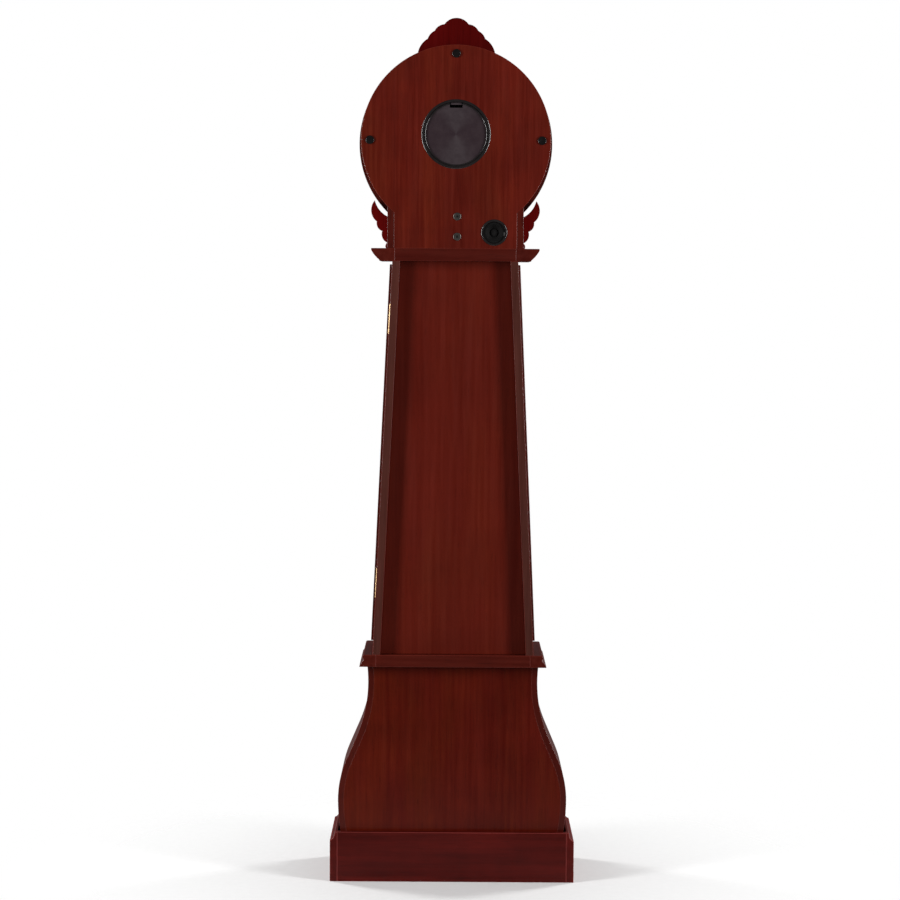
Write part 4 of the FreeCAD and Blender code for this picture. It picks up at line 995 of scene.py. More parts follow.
@dataclass
class Plinth:
    """The box of rails that the clock stands on."""

    easing: Easing = Easing(width=1.1 * MM)
    block_easing: Easing = Easing(width=0.6 * MM)
    # how much paler the rails' arrises are: a little wear and a painted highlight together
    wear: Flat = (2.4, 0.02)

    def build(self) -> None:
        """Makes the rails with paler arrises, partly worn and partly a painted highlight, and the
        rough blocks in their corners.
        """
        across = PALETTE.rail
        deep = across.turned(Grain.FORE_AFT)
        for node, stain in (
            ("plinth_front_rail", across),
            ("plinth_side_rails", deep),
            ("plinth_back_rail", across),
        ):
            self.easing.ease(node, stain, edge=stain.rubbed_and_highlit(*self.wear))
        self.block_easing.ease("plinth_corner_blocks", PALETTE.inside.turned(Grain.UPRIGHT))


@dataclass
class Base:
    """The swelling lower case between the plinth and the sill."""

    easing: Easing = Easing(width=0.7 * MM)
    # how much paler the eased edges are: a little wear and a painted highlight together
    wear: float = 1.3

    def build(self) -> None:
        """Makes the flat front and back boards and the two curved sides."""
        flat = PALETTE.foot
        side = PALETTE.case.turned(Grain.UPRIGHT_SIDE)
        self.easing.ease("base_front_panel", flat, edge=flat.rubbed_and_highlit(self.wear))
        self.easing.ease("base_back_panel", flat, edge=flat.rubbed_and_highlit(self.wear))
        self.easing.ease("base_sides", side, edge=side.rubbed_and_highlit())


@dataclass
class Belt:
    """A moulded belt round the case: front and side mouldings, a back rail and a board."""

    name: str
    board: str
    board_finish: Stain
    easing: Easing

    def build(self) -> None:
        """Makes the mouldings and the back rail, and dresses the board inside them."""
        across = PALETTE.case
        for part, stain in (
            ("front_moulding", across),
            ("side_mouldings", across.turned(Grain.FORE_AFT)),
            ("back_rail", across),
        ):
            self.easing.ease(f"{self.name}_{part}", stain, edge=stain.rubbed_and_highlit())
        dressed(self.board, self.board_finish)


@dataclass
class Trunk:
    """The tapering middle of the case."""

    easing: Easing = Easing(width=0.8 * MM)

    def build(self) -> None:
        """Makes the leaning sides, the recessed back panel and the two front rails."""
        side = PALETTE.case.turned(Grain.UPRIGHT_SIDE)
        edge = PALETTE.board_edge
        self.easing.ease("trunk_sides", side, edge=side.rubbed_and_highlit(), back=edge)
        self.easing.ease("trunk_back_panel", PALETTE.waist)
        self.easing.ease("trunk_front_rails", PALETTE.case, edge=PALETTE.case.rubbed_and_highlit())


# ---------------------------------------------------------------------------------------
# Hood and its carvings
# ---------------------------------------------------------------------------------------


@dataclass
class Hood:
    """The round head of the case with its turned front ring."""

    easing: Easing = Easing(width=0.9 * MM)
    # how much paler the boards' eased edges are: a little wear and a painted highlight together
    back_wear_and_highlight: float = 1.5
    front_wear_and_highlight: float = 1.2
    bezel_width: float = 45.0 * MM
    bead: float = 4.0 * MM
    bead_level: float = 0.42
    hollow_inset: float = 2.2
    band_inset: float = 2.6
    hollow_steps: tuple[float, ...] = (0.2, 0.4, 0.6, 0.75, 0.87, 0.95, 1.0)

    def build(self) -> None:
        """Makes the bent drum, the neck, both flat boards and the bezel."""
        hub = Room.of("hood_bezel").centre
        bent = replace(PALETTE.case.turned(Grain.ROUND), name="drum_stain", hub=hub.z)
        neck = PALETTE.case.turned(Grain.UPRIGHT_SIDE)
        flat = PALETTE.panel
        self.easing.ease("hood_back_panel", flat, edge=flat.rubbed_and_highlit(self.back_wear_and_highlight))
        self.easing.ease("hood_front_board", flat, edge=flat.rubbed_and_highlit(self.front_wear_and_highlight))
        self.easing.ease("hood_drum", bent)
        self.easing.ease("neck_sides", neck)
        self.bezel(hub)

    def profile(self, inner: float, outer: float, depth: float) -> list[Ring]:
        """The bezel's section: an inner bead, a hollow, a raised band and an outer bead.

        Args:
            inner: the opening's radius.
            outer: the ring's outer radius.
            depth: how far it stands in front of its flat back.

        Returns:
            The section's points, from the inner back corner round to the outer one.
        """
        bead = self.bead
        low = -self.bead_level * depth
        start = inner + self.hollow_inset * bead
        band = outer - self.band_inset * bead
        hollow = band - bead - start
        rings: list[Ring] = [(inner, 0.0)]
        rings += arc((inner + bead, low + bead), bead, 180.0, 270.0)
        rings.append((start, low))
        rings += [
            (start + hollow * t, low - (depth + low) * (1 - math.sqrt(1 - t * t)))
            for t in self.hollow_steps
        ]
        rings += arc((band, bead / 2 - depth), bead / 2, -90.0, 0.0, 4)
        rings.append((band + bead / 2, bead - depth))
        rings += arc((outer - bead, 2.1 * bead - depth), bead, -90.0, 0.0)
        rings.append((outer, 0.0))
        return rings

    def bezel(self, hub: Vector) -> None:
        """Turns the ring round the dial.

        Args:
            hub: the middle of the ring's room.
        """
        room = Room.of("hood_bezel")
        outer = room.size.x / 2
        turned_piece(
            "hood_bezel_turned",
            self.profile(outer - self.bezel_width, outer, room.size.y),
            PALETTE.case.turned(Grain.ROUND),
            Seat.of("hood_bezel"),
            (hub.x, room.high.y, hub.z),
            steps=160,
            hollow=True,
        )


@dataclass
class Carving:
    """A flat-backed carving whose front is cut in ribs that meet at its root.

    The root is given for the right side, and a carving on the left has it mirrored.
    """

    node: str
    name: str
    root: Flat
    finish: Stain
    grid: float = 1.7 * MM
    rim: float = 0.42
    shoulder: float = 9.0 * MM
    furrow: float = 4.2 * MM
    furrow_depth: float = 0.42
    thinnest: float = 0.12
    arris: float = 0.8 * MM
    row_rise: float = 0.87
    edge_gap: float = 0.6
    notch_turn: float = 28.0

    def outlines(self) -> list[list[Flat]]:
        """Reads the outline of each separate carving from the node's flat back.

        Returns:
            Closed runs of points, as across and up.
        """
        form = bare_form(self.node)
        back = {f for f in form.faces if f.normal.y > 0.99}
        rim = [e for e in form.edges if len(set(e.link_faces) & back) == 1]
        beside: dict[bmesh.types.BMVert, list[bmesh.types.BMVert]] = {}
        for edge in rim:
            first, second = edge.verts
            beside.setdefault(first, []).append(second)
            beside.setdefault(second, []).append(first)
        runs = []
        while beside:
            start = min(beside, key=lambda v: (round(v.co.x, 6), round(v.co.z, 6)))
            run, last = [start], None
            while True:
                ways = [v for v in beside[run[-1]] if v is not last]
                last = run[-1]
                if ways[0] is start or len(run) > len(rim):
                    break
                run.append(ways[0])
            for vert in run:
                beside.pop(vert)
            runs.append([(v.co.x, v.co.z) for v in run])
        form.free()
        return runs

    def split(self, run: Sequence[Flat]) -> list[Flat]:
        """Adds points along an outline until none are further apart than the grid.

        Args:
            run: the outline's own corners.

        Returns:
            The corners with the new points between them.
        """
        points: list[Flat] = []
        for here, there in zip(run, [*run[1:], run[0]]):
            gap = math.dist(here, there)
            parts = max(1, math.ceil(gap / self.grid))
            for part in range(parts):
                share = part / parts
                points.append(
                    (here[0] + (there[0] - here[0]) * share, here[1] + (there[1] - here[1]) * share)
                )
        return points

    def notches(self, run: Sequence[Flat], root: Flat) -> list[float]:
        """Finds the angles, seen from the root, at which the outline has a notch.

        Args:
            run: the outline's own corners.
            root: where the ribs meet.

        Returns:
            Angles in radians, rising, with the outline's two ends.
        """
        count = len(run)
        area = sum(
            run[i][0] * run[(i + 1) % count][1] - run[(i + 1) % count][0] * run[i][1]
            for i in range(count)
        )
        found = []
        for index in range(count):
            before, here, after = run[index - 1], run[index], run[(index + 1) % count]
            first = math.atan2(here[1] - before[1], here[0] - before[0])
            second = math.atan2(after[1] - here[1], after[0] - here[0])
            turn = math.remainder(second - first, math.tau) * math.copysign(1.0, area)
            if turn < -math.radians(self.notch_turn):
                found.append(math.atan2(here[1] - root[1], here[0] - root[0]))
        return sorted([*found, -math.pi, math.pi])

    def relief(
        self, points: np.ndarray, run: Sequence[Flat], marks: Sequence[float], root: Flat
    ) -> np.ndarray:
        """Works out how far the front stands out at each point.

        Args:
            points: across and up of each point.
            run: the outline.
            marks: angles of the furrows.
            root: where the ribs meet.

        Returns:
            Heights from 0 to 1, as shares of the carving's thickness.
        """
        starts = np.array(run)
        ends = np.roll(starts, -1, axis=0)
        along = ends - starts
        offset = points[:, None, :] - starts[None]
        share = (offset * along).sum(2) / np.maximum((along**2).sum(1), 1e-12)
        nearest = offset - np.clip(share, 0, 1)[..., None] * along
        edge = np.sqrt((nearest**2).sum(2)).min(1)
        rise = np.clip(edge / self.shoulder, 0, 1)
        height = self.rim + (1 - self.rim) * np.sqrt(1 - (1 - rise) ** 2)
        out = points - np.array(root)
        reach = np.hypot(out[:, 0], out[:, 1])
        angle = np.arctan2(out[:, 1], out[:, 0])
        gap = np.min([np.abs(angle - mark) for mark in marks], axis=0) * reach
        groove = np.exp(-((gap / self.furrow) ** 2) * 1.6)
        fade = np.clip(reach / reach.max() * 2.2, 0, 1)
        return np.clip(height * (1 - self.furrow_depth * groove * fade), self.thinnest, 1)

    def build(self) -> None:
        """Cuts every carving of the node as one piece."""
        room = Room.of(self.node)
        form = bmesh.new()
        weights = form.edges.layers.float.new("bevel_weight_edge")
        across, rise = self.root
        for corners in self.outlines():
            side = math.copysign(1.0, sum(x for x, _ in corners))
            root = (side * across, rise)
            marks = self.notches(corners, root)
            run = self.split(corners)
            self.cut(form, run, marks, root, room, weights)
        piece = settled(self.name, form, self.finish, Seat.of(self.node), crease=50.0)
        bevel = piece.modifiers.new("back_arris", "BEVEL")
        bevel.width = self.arris
        bevel.segments = 2
        bevel.limit_method = "WEIGHT"
        bevel.use_clamp_overlap = False

    def inside(self, run: Sequence[Flat]) -> list[Flat]:
        """Scatters a grid of points inside an outline, clear of its edge.

        Args:
            run: the outline.

        Returns:
            The points, as across and up.
        """
        xs = [x for x, _ in run]
        zs = [z for _, z in run]
        shape = np.array(run)
        after = np.roll(shape, -1, axis=0)
        found = []
        row, level = 0, min(zs) + self.grid / 2
        while level < max(zs):
            across = min(xs) + (self.grid / 2 if row % 2 else 0.0)
            while across < max(xs):
                crossing = (shape[:, 1] > level) != (after[:, 1] > level)
                first, second = shape[crossing], after[crossing]
                meets = first[:, 0] + (level - first[:, 1]) * (second[:, 0] - first[:, 0]) / (
                    second[:, 1] - first[:, 1]
                )
                clear = np.hypot(shape[:, 0] - across, shape[:, 1] - level).min()
                if (meets > across).sum() % 2 and clear > self.edge_gap * self.grid:
                    found.append((across, level))
                across += self.grid
            row += 1
            level += self.grid * self.row_rise
        return found

    def cut(
        self,
        form: bmesh.types.BMesh,
        run: list[Flat],
        marks: Sequence[float],
        root: Flat,
        room: Room,
        weights: bmesh.types.BMLayerItem,
    ) -> None:
        """Adds one carving to the form.

        Args:
            form: the form to add to.
            run: its outline.
            marks: angles of its furrows.
            root: where its ribs meet.
            room: the room of the whole node.
            weights: the edge layer that says which edges are eased.
        """
        spots = [Vector(p) for p in (*run, *self.inside(run))]
        flat, _, faces, *_ = delaunay_2d_cdt(spots, [], [list(range(len(run)))], 1, 1e-7)
        points = np.array([(p.x, p.y) for p in flat])
        heights = self.relief(points, run, marks, root)
        depth = room.size.y
        front = [
            form.verts.new((p[0], room.high.y - h * depth, p[1])) for p, h in zip(points, heights)
        ]
        for face in faces:
            form.faces.new([front[i] for i in face])
        count = len(run)
        back = [form.verts.new((x, room.high.y, z)) for x, z in run]
        form.faces.new(back)
        for index in range(count):
            after = (index + 1) % count
            form.faces.new((back[index], front[index], front[after], back[after]))
            form.edges.get((back[index], back[after]))[weights] = 1.0


@dataclass
class Carvings:
    """The shell on top of the hood and the leaf at each side of its neck."""

    shell_root_drop: float = 14.0 * MM
    leaf_root_inset: float = 14.0 * MM
    leaf_root_share: float = 0.22
    leaf_furrow: float = 2.6 * MM
    leaf_shoulder: float = 6.0 * MM

    def build(self) -> None:
        """Cuts the shell and the two leaves."""
        shell_root = (0.0, Room.of("crest").low.z - self.shell_root_drop)
        Carving("crest", "crest_carved", shell_root, PALETTE.carving).build()
        leaf = Room.of("scroll_ears")
        leaf_root = (
            Room.of("neck_sides").high.x - self.leaf_root_inset,
            leaf.low.z + leaf.size.z * self.leaf_root_share,
        )
        Carving(
            "scroll_ears",
            "scroll_ears_carved",
            leaf_root,
            PALETTE.leaf,
            furrow=self.leaf_furrow,
            shoulder=self.leaf_shoulder,
        ).build()


# ---------------------------------------------------------------------------------------
# Door
# ---------------------------------------------------------------------------------------


@dataclass
class Knob:
    """The turned knob of the door: a rose against the stile, a waist and a round grip."""

    rose_share: float = 0.82
    rose_side: float = 1.6 * MM
    rose_edge: float = 1.2 * MM
    waist_share: float = 0.42
    cove: float = 1.6 * MM
    cove_start: float = 2.9 * MM
    crown_angle: float = 84.0

    def build(self) -> None:
        """Turns the knob from its rose to its crown."""
        room = Room.of("door_knob")
        grip, length = room.size.x / 2, room.size.y
        rose, waist = self.rose_share * grip, self.waist_share * grip
        rings: list[Ring] = [(0.0, 0.0), (rose, 0.0)]
        rings += arc((rose - self.rose_edge, -self.rose_side), self.rose_edge, 0.0, -90.0, 4)
        cove_middle = (waist + self.cove, -self.cove_start - self.cove)
        rings += arc(cove_middle, self.cove, 90.0, 180.0, 4)
        joint = math.degrees(math.asin(waist / grip))
        rings += arc((0.0, grip - length), grip, 90.0 - joint, -self.crown_angle, 18)
        rings.append((0.0, -length))
        at = (room.centre.x, room.high.y, room.centre.z)
        seat = Seat.of("door_knob")
        turned_piece("door_knob_turned", rings, PALETTE.brass, seat, at, steps=48, crease=50.0)


@dataclass
class Door:
    """The long glazed door, its knob and its hinges."""

    easing: Easing = Easing(width=1.4 * MM, steps=3)
    hinge_side: Easing = Easing(width=0.5 * MM)
    beads: Easing = Easing(width=0.5 * MM)
    catch: Easing = Easing(width=0.7 * MM)
    leaves: Easing = Easing(width=0.18 * MM)
    # how much paler the eased edges are: a little wear and a painted highlight together
    wear: float = 1.3

    def build(self) -> None:
        """Makes the frame, its glass, its knob, the catch and the hinges."""
        upright = PALETTE.case.turned(Grain.UPRIGHT)
        across = PALETTE.case
        self.hinge_side.ease("door_hinge_stile", upright, edge=upright.rubbed_and_highlit(self.wear))
        self.easing.ease("door_latch_stile", upright, edge=upright.rubbed_and_highlit(self.wear))
        self.easing.ease("door_rails", across, edge=across.rubbed_and_highlit(self.wear))
        self.beads.ease("door_glass_beads", upright)
        dressed("door_glass", PALETTE.glass)
        Knob().build()
        self.catch.ease("magnetic_catch", PALETTE.black)
        self.leaves.ease("hinge_door_leaves", PALETTE.hinge)
        self.leaves.ease("hinge_case_leaves", PALETTE.hinge)
        dressed("hinge_pins", PALETTE.hinge)


# ---------------------------------------------------------------------------------------
# Dial and hands
# ---------------------------------------------------------------------------------------


class Letter(Enum):
    """Strokes of each numeral letter: foot and head places across, and how bold they are."""

    I = ((0.0, 0.0, 1.0),)  # noqa: E741
    V = ((0.5, 0.0, 1.0), (0.5, 1.0, 0.36))
    X = ((1.0, 0.0, 1.0), (0.0, 1.0, 0.36))


@dataclass
class Dial:
    """The enamelled dial plate with its painted chapter ring."""

    step: float = 92.0 * MM
    fall: float = 0.35 * MM
    edge: float = 0.5 * MM
    paint: float = 0.12 * MM
    track: Flat = (148.0 * MM, 141.0 * MM)
    line: float = 0.6 * MM
    line_gap: float = 6.0 * MM
    hour_mark: float = 2.4 * MM
    minute_mark: float = 0.7 * MM
    numeral_foot: float = 104.0 * MM
    numeral_height: float = 29.0 * MM
    letter_share: float = 0.52
    letter_gap: float = 3.6 * MM
    bold: float = 4.6 * MM
    serif: float = 1.0 * MM
    serif_reach: float = 1.3 * MM
    minutes: int = 60

    def build(self) -> None:
        """Makes the plate and its painting."""
        room = Room.of("dial_board")
        hub = Vector((room.centre.x, room.low.y, room.centre.z))
        self.plate(room, hub)
        self.painting(hub)

    def plate(self, room: Room, hub: Vector) -> None:
        """Presses the plate, with a shallow step inside the chapter ring.

        Args:
            room: the dial board's room.
            hub: the middle of its front.
        """
        radius, thick = room.size.x / 2, room.size.y
        rings: list[Ring] = [(0.0, self.fall), (self.step - 2 * self.fall, self.fall)]
        rings += [(self.step - self.fall, self.fall / 2), (self.step, 0.0)]
        rings += [(radius - self.edge, 0.0), (radius, self.edge), (radius, thick), (0.0, thick)]
        turned_piece("dial_plate", rings, PALETTE.dial, Seat.of("dial_board"), hub, steps=180)

    def turned_points(self, angle: float, points: Sequence[Flat]) -> list[Flat]:
        """Carries points from an upright strip to one that lies at an angle round the dial.

        Args:
            angle: clockwise from the top, in radians.
            points: distances to the right and out from the middle.

        Returns:
            The points as across and up.
        """
        right = (math.cos(angle), -math.sin(angle))
        out = (math.sin(angle), math.cos(angle))
        return [(u * right[0] + v * out[0], u * right[1] + v * out[1]) for u, v in points]

    def hoop(self, form: bmesh.types.BMesh, radius: float, width: float) -> None:
        """Paints a thin circle.

        Args:
            form: the form to add to.
            radius: the circle's inner radius.
            width: the line's width.
        """
        rings = [
            (radius, 0.0),
            (radius, -self.paint),
            (radius + width, -self.paint),
            (radius + width, 0.0),
        ]
        spin(form, rings, steps=180)

    def stroke(self, form: bmesh.types.BMesh, angle: float, points: Sequence[Flat]) -> None:
        """Paints one stroke.

        Args:
            form: the form to add to.
            angle: the stroke's place round the dial, clockwise from the top, in radians.
            points: its corners, to the right and out from the middle.
        """
        slab(form, self.turned_points(angle, points), -self.paint, 0.0)

    def mark(self, form: bmesh.types.BMesh, angle: float, wide: float) -> None:
        """Paints one mark across the minute track.

        Args:
            form: the form to add to.
            angle: the mark's place round the dial.
            wide: its width.
        """
        half = wide / 2
        outer, inner = self.track
        self.stroke(form, angle, [(-half, inner), (half, inner), (half, outer), (-half, outer)])

    def letter_width(self, letter: Letter) -> float:
        """How wide a letter is."""
        return self.bold if letter is Letter.I else self.numeral_height * self.letter_share

    def letter(self, form: bmesh.types.BMesh, letter: Letter, left: float, angle: float) -> None:
        """Paints one letter with its serifs.

        Args:
            form: the form to add to.
            letter: which one.
            left: where it starts, to the right of the numeral's middle.
            angle: the numeral's place round the dial.
        """
        low = self.numeral_foot
        high = low + self.numeral_height
        width = self.letter_width(letter) - self.bold
        for foot, head, weight in letter.value:
            half = self.bold * weight / 2
            first = left + self.bold / 2 + width * foot
            second = left + self.bold / 2 + width * head
            feet = [(first - half, low), (first + half, low)]
            self.stroke(form, angle, [*feet, (second + half, high), (second - half, high)])
            if letter is not Letter.V:
                self.serif_bar(form, angle, (first, low), half)
            self.serif_bar(form, angle, (second, high - self.serif), half)

    def serif_bar(self, form: bmesh.types.BMesh, angle: float, at: Flat, half: float) -> None:
        """Paints the thin bar across one end of a stroke, a little proud of it.

        Args:
            form: the form to add to.
            angle: the numeral's place round the dial.
            at: the middle of the bar's lower side, to the right and out from the middle.
            half: half the stroke's own width.
        """
        middle, low = at
        reach = half + self.serif_reach
        high = low + self.serif
        low_side = [(middle - reach, low), (middle + reach, low)]
        points = [*low_side, (middle + reach, high), (middle - reach, high)]
        slab(form, self.turned_points(angle, points), -self.paint * 1.02, 0.0)

    def numeral(self, form: bmesh.types.BMesh, text: str, angle: float) -> None:
        """Paints one hour's numeral, with its feet to the middle of the dial.

        Args:
            form: the form to add to.
            text: its letters.
            angle: clockwise from the top, in radians.
        """
        letters = [Letter[c] for c in text]
        widths = [self.letter_width(letter) for letter in letters]
        left = -(sum(widths) + self.letter_gap * (len(letters) - 1)) / 2
        for letter, width in zip(letters, widths):
            self.letter(form, letter, left, angle)
            left += width + self.letter_gap

    def painting(self, hub: Vector) -> None:
        """Paints the minute track and the twelve numerals.

        Args:
            hub: the middle of the dial's front.
        """
        form = bmesh.new()
        for radius in (*self.track, self.numeral_foot - self.line_gap):
            self.hoop(form, radius, self.line)
        for minute in range(self.minutes):
            wide = self.minute_mark if minute % 5 else self.hour_mark
            self.mark(form, math.tau * minute / self.minutes, wide)
        names = ("XII", "I", "II", "III", "IIII", "V", "VI", "VII", "VIII", "IX", "X", "XI")
        for hour, text in enumerate(names):
            self.numeral(form, text, math.tau * hour / len(names))
        settled("dial_numerals", form, PALETTE.ink, Seat.beside("dial_board"), hub)


@dataclass
class DialFittings:
    """What stands in front of the dial: the trim ring, the glass, the hands and their cap."""

    thin: Easing = Easing(width=0.3 * MM)
    trim_width: float = 3.0 * MM
    lip: float = 1.1 * MM
    lip_draft: float = 0.3
    cap_reach: float = 1.0 * MM
    cap_crown: Flat = (0.6, 0.95)
    cap_rise: float = 1.5 * MM
    cap_side: float = 0.8 * MM
    cap_edge: float = 0.4 * MM

    def build(self) -> None:
        """Makes the ring and the hands, and dresses what they turn on."""
        self.trim()
        dressed("dial_glass", PALETTE.glass)
        self.thin.ease("hour_hand", PALETTE.hand)
        self.thin.ease("minute_hand", PALETTE.hand)
        dressed("mounting_nut", PALETTE.brass)
        dressed("centre_arbor", PALETTE.steel)
        self.cap()

    def trim(self) -> None:
        """Turns the brass ring between the bezel and the dial."""
        room = Room.of("dial_trim_ring")
        outer, depth = room.size.x / 2, room.size.y
        inner = outer - self.trim_width
        lip = self.lip
        rings: list[Ring] = [(outer, 0.0), (inner, 0.0)]
        rings += [(inner, 4 * lip - depth), (inner + self.lip_draft * lip, 3 * lip - depth)]
        rings += arc((outer - lip, lip - depth), lip, 200.0, 360.0, 10)
        turned_piece(
            "dial_trim_spun",
            rings,
            PALETTE.brass,
            Seat.of("dial_trim_ring"),
            (room.centre.x, room.high.y, room.centre.z),
            steps=180,
            hollow=True,
            crease=60.0,
        )

    def cap(self) -> None:
        """Turns the small brass cap over the end of the hands' arbor."""
        arbor = Room.of("centre_arbor")
        hand = Room.of("minute_hand")
        radius = arbor.size.x / 2 + self.cap_reach
        rings: list[Ring] = [(0.0, 0.0), (radius, 0.0)]
        rings += arc((radius - self.cap_edge, -self.cap_side), self.cap_edge, 0.0, -70.0, 3)
        width, rise = self.cap_crown
        rings += [(radius * width, -self.cap_rise * rise), (0.0, -self.cap_rise)]
        seat = Seat.beside("minute_hand", "trim_brass")
        at = (arbor.centre.x, hand.low.y, arbor.centre.z)
        turned_piece("hand_cap", rings, PALETTE.brass, seat, at, steps=32)


# ---------------------------------------------------------------------------------------
# Movement and pendulum
# ---------------------------------------------------------------------------------------


@dataclass
class Movement:
    """The battery movement behind the dial."""

    case: Easing = Easing(width=0.6 * MM)
    cover: Easing = Easing(width=0.35 * MM)
    cells: Easing = Easing(width=0.4 * MM)
    switch: Easing = Easing(width=0.25 * MM)

    def build(self) -> None:
        """Dresses the case, its cover, cells and wheels."""
        self.case.ease("movement_case", PALETTE.black)
        self.cover.ease("movement_cover", PALETTE.ring)
        self.cells.ease("batteries", PALETTE.jacket)
        self.switch.ease("chime_switch", PALETTE.white)
        for node in ("setting_knob", "hour_wheel", "idler_wheel"):
            dressed(node, PALETTE.white)


@dataclass
class Pendulum:
    """The wooden rod with its leader, its spun brass bob and its knurled nut."""

    rim: float = 2.2 * MM
    rim_width: float = 2.6
    step_inset: float = 1.3
    dome_inset: float = 1.6
    dome_gap: float = 2.0 * MM
    dome_edge: float = 0.6 * MM
    dome_steps: tuple[float, ...] = (0.12, 0.3, 0.5, 0.7, 0.85, 1.0)
    flutes: int = 36
    groove: float = 0.35 * MM
    nut_foot: Flat = (0.55, 0.6)
    nut_crown: float = 0.72
    knurl: tuple[float, float, float] = (-0.3, -0.26, 0.3)
    rod: Easing = Easing(width=0.9 * MM)
    leader: Easing = Easing(width=0.2 * MM)
    # how much paler the rod's eased edges are: a little wear and a painted highlight together
    wear: float = 1.3

    def build(self) -> None:
        """Makes the rod, leader, bob and nut."""
        stain = PALETTE.case.turned(Grain.UPRIGHT)
        self.rod.ease("pendulum_rod", stain, edge=stain.rubbed_and_highlit(self.wear))
        self.leader.ease("pendulum_leader", PALETTE.steel)
        self.bob()
        self.nut()

    def bob(self) -> None:
        """Spins the bob: a rolled rim, a flat step and a low dome on each face."""
        room = Room.of("pendulum_bob")
        radius, half = room.size.x / 2, room.size.y / 2
        rim = self.rim
        step = radius - self.rim_width * rim
        dome = step - self.dome_gap
        crown = half - self.dome_inset * rim
        level = -self.step_inset * rim
        face: list[Ring] = [(0.0, -half)]
        face += [(dome * t, crown * t * t - half) for t in self.dome_steps]
        face += [(dome + self.dome_edge, level), (step, level)]
        face += arc((radius - rim, 0.0), rim, -110.0, 0.0, 9)
        back = [(r, -d) for r, d in face[-2::-1]]
        seat = Seat.of("pendulum_bob")
        rings = [*face, *back]
        turned_piece("pendulum_bob_spun", rings, PALETTE.brass, seat, room.centre, steps=120)

    def nut(self) -> None:
        """Turns the knurled nut under the bob, on its upright axis."""
        room = Room.of("rating_nut")
        radius, height = room.size.x / 2, room.size.z

        def knurled(angle: float) -> float:
            """The fluted rim's radius at one angle."""
            return radius - self.groove * (0.5 + 0.5 * math.cos(self.flutes * angle))

        low, high = (radius * share for share in self.nut_foot)
        neck, foot, head = (height * share for share in self.knurl)
        rings: list[Ring] = [(0.0, -height / 2), (low, -height / 2), (high, neck)]
        rings += [(knurled, foot), (knurled, head)]
        rings += [(radius * self.nut_crown, height / 2), (0.0, height / 2)]
        form = bmesh.new()
        spin(form, rings, steps=self.flutes * 6)
        form.transform(Matrix.Rotation(math.pi / 2, 4, "X"))
        settled("rating_nut_knurled", form, PALETTE.brass, Seat.of("rating_nut"), room.centre)


# ---------------------------------------------------------------------------------------
# Fittings on the back
# ---------------------------------------------------------------------------------------


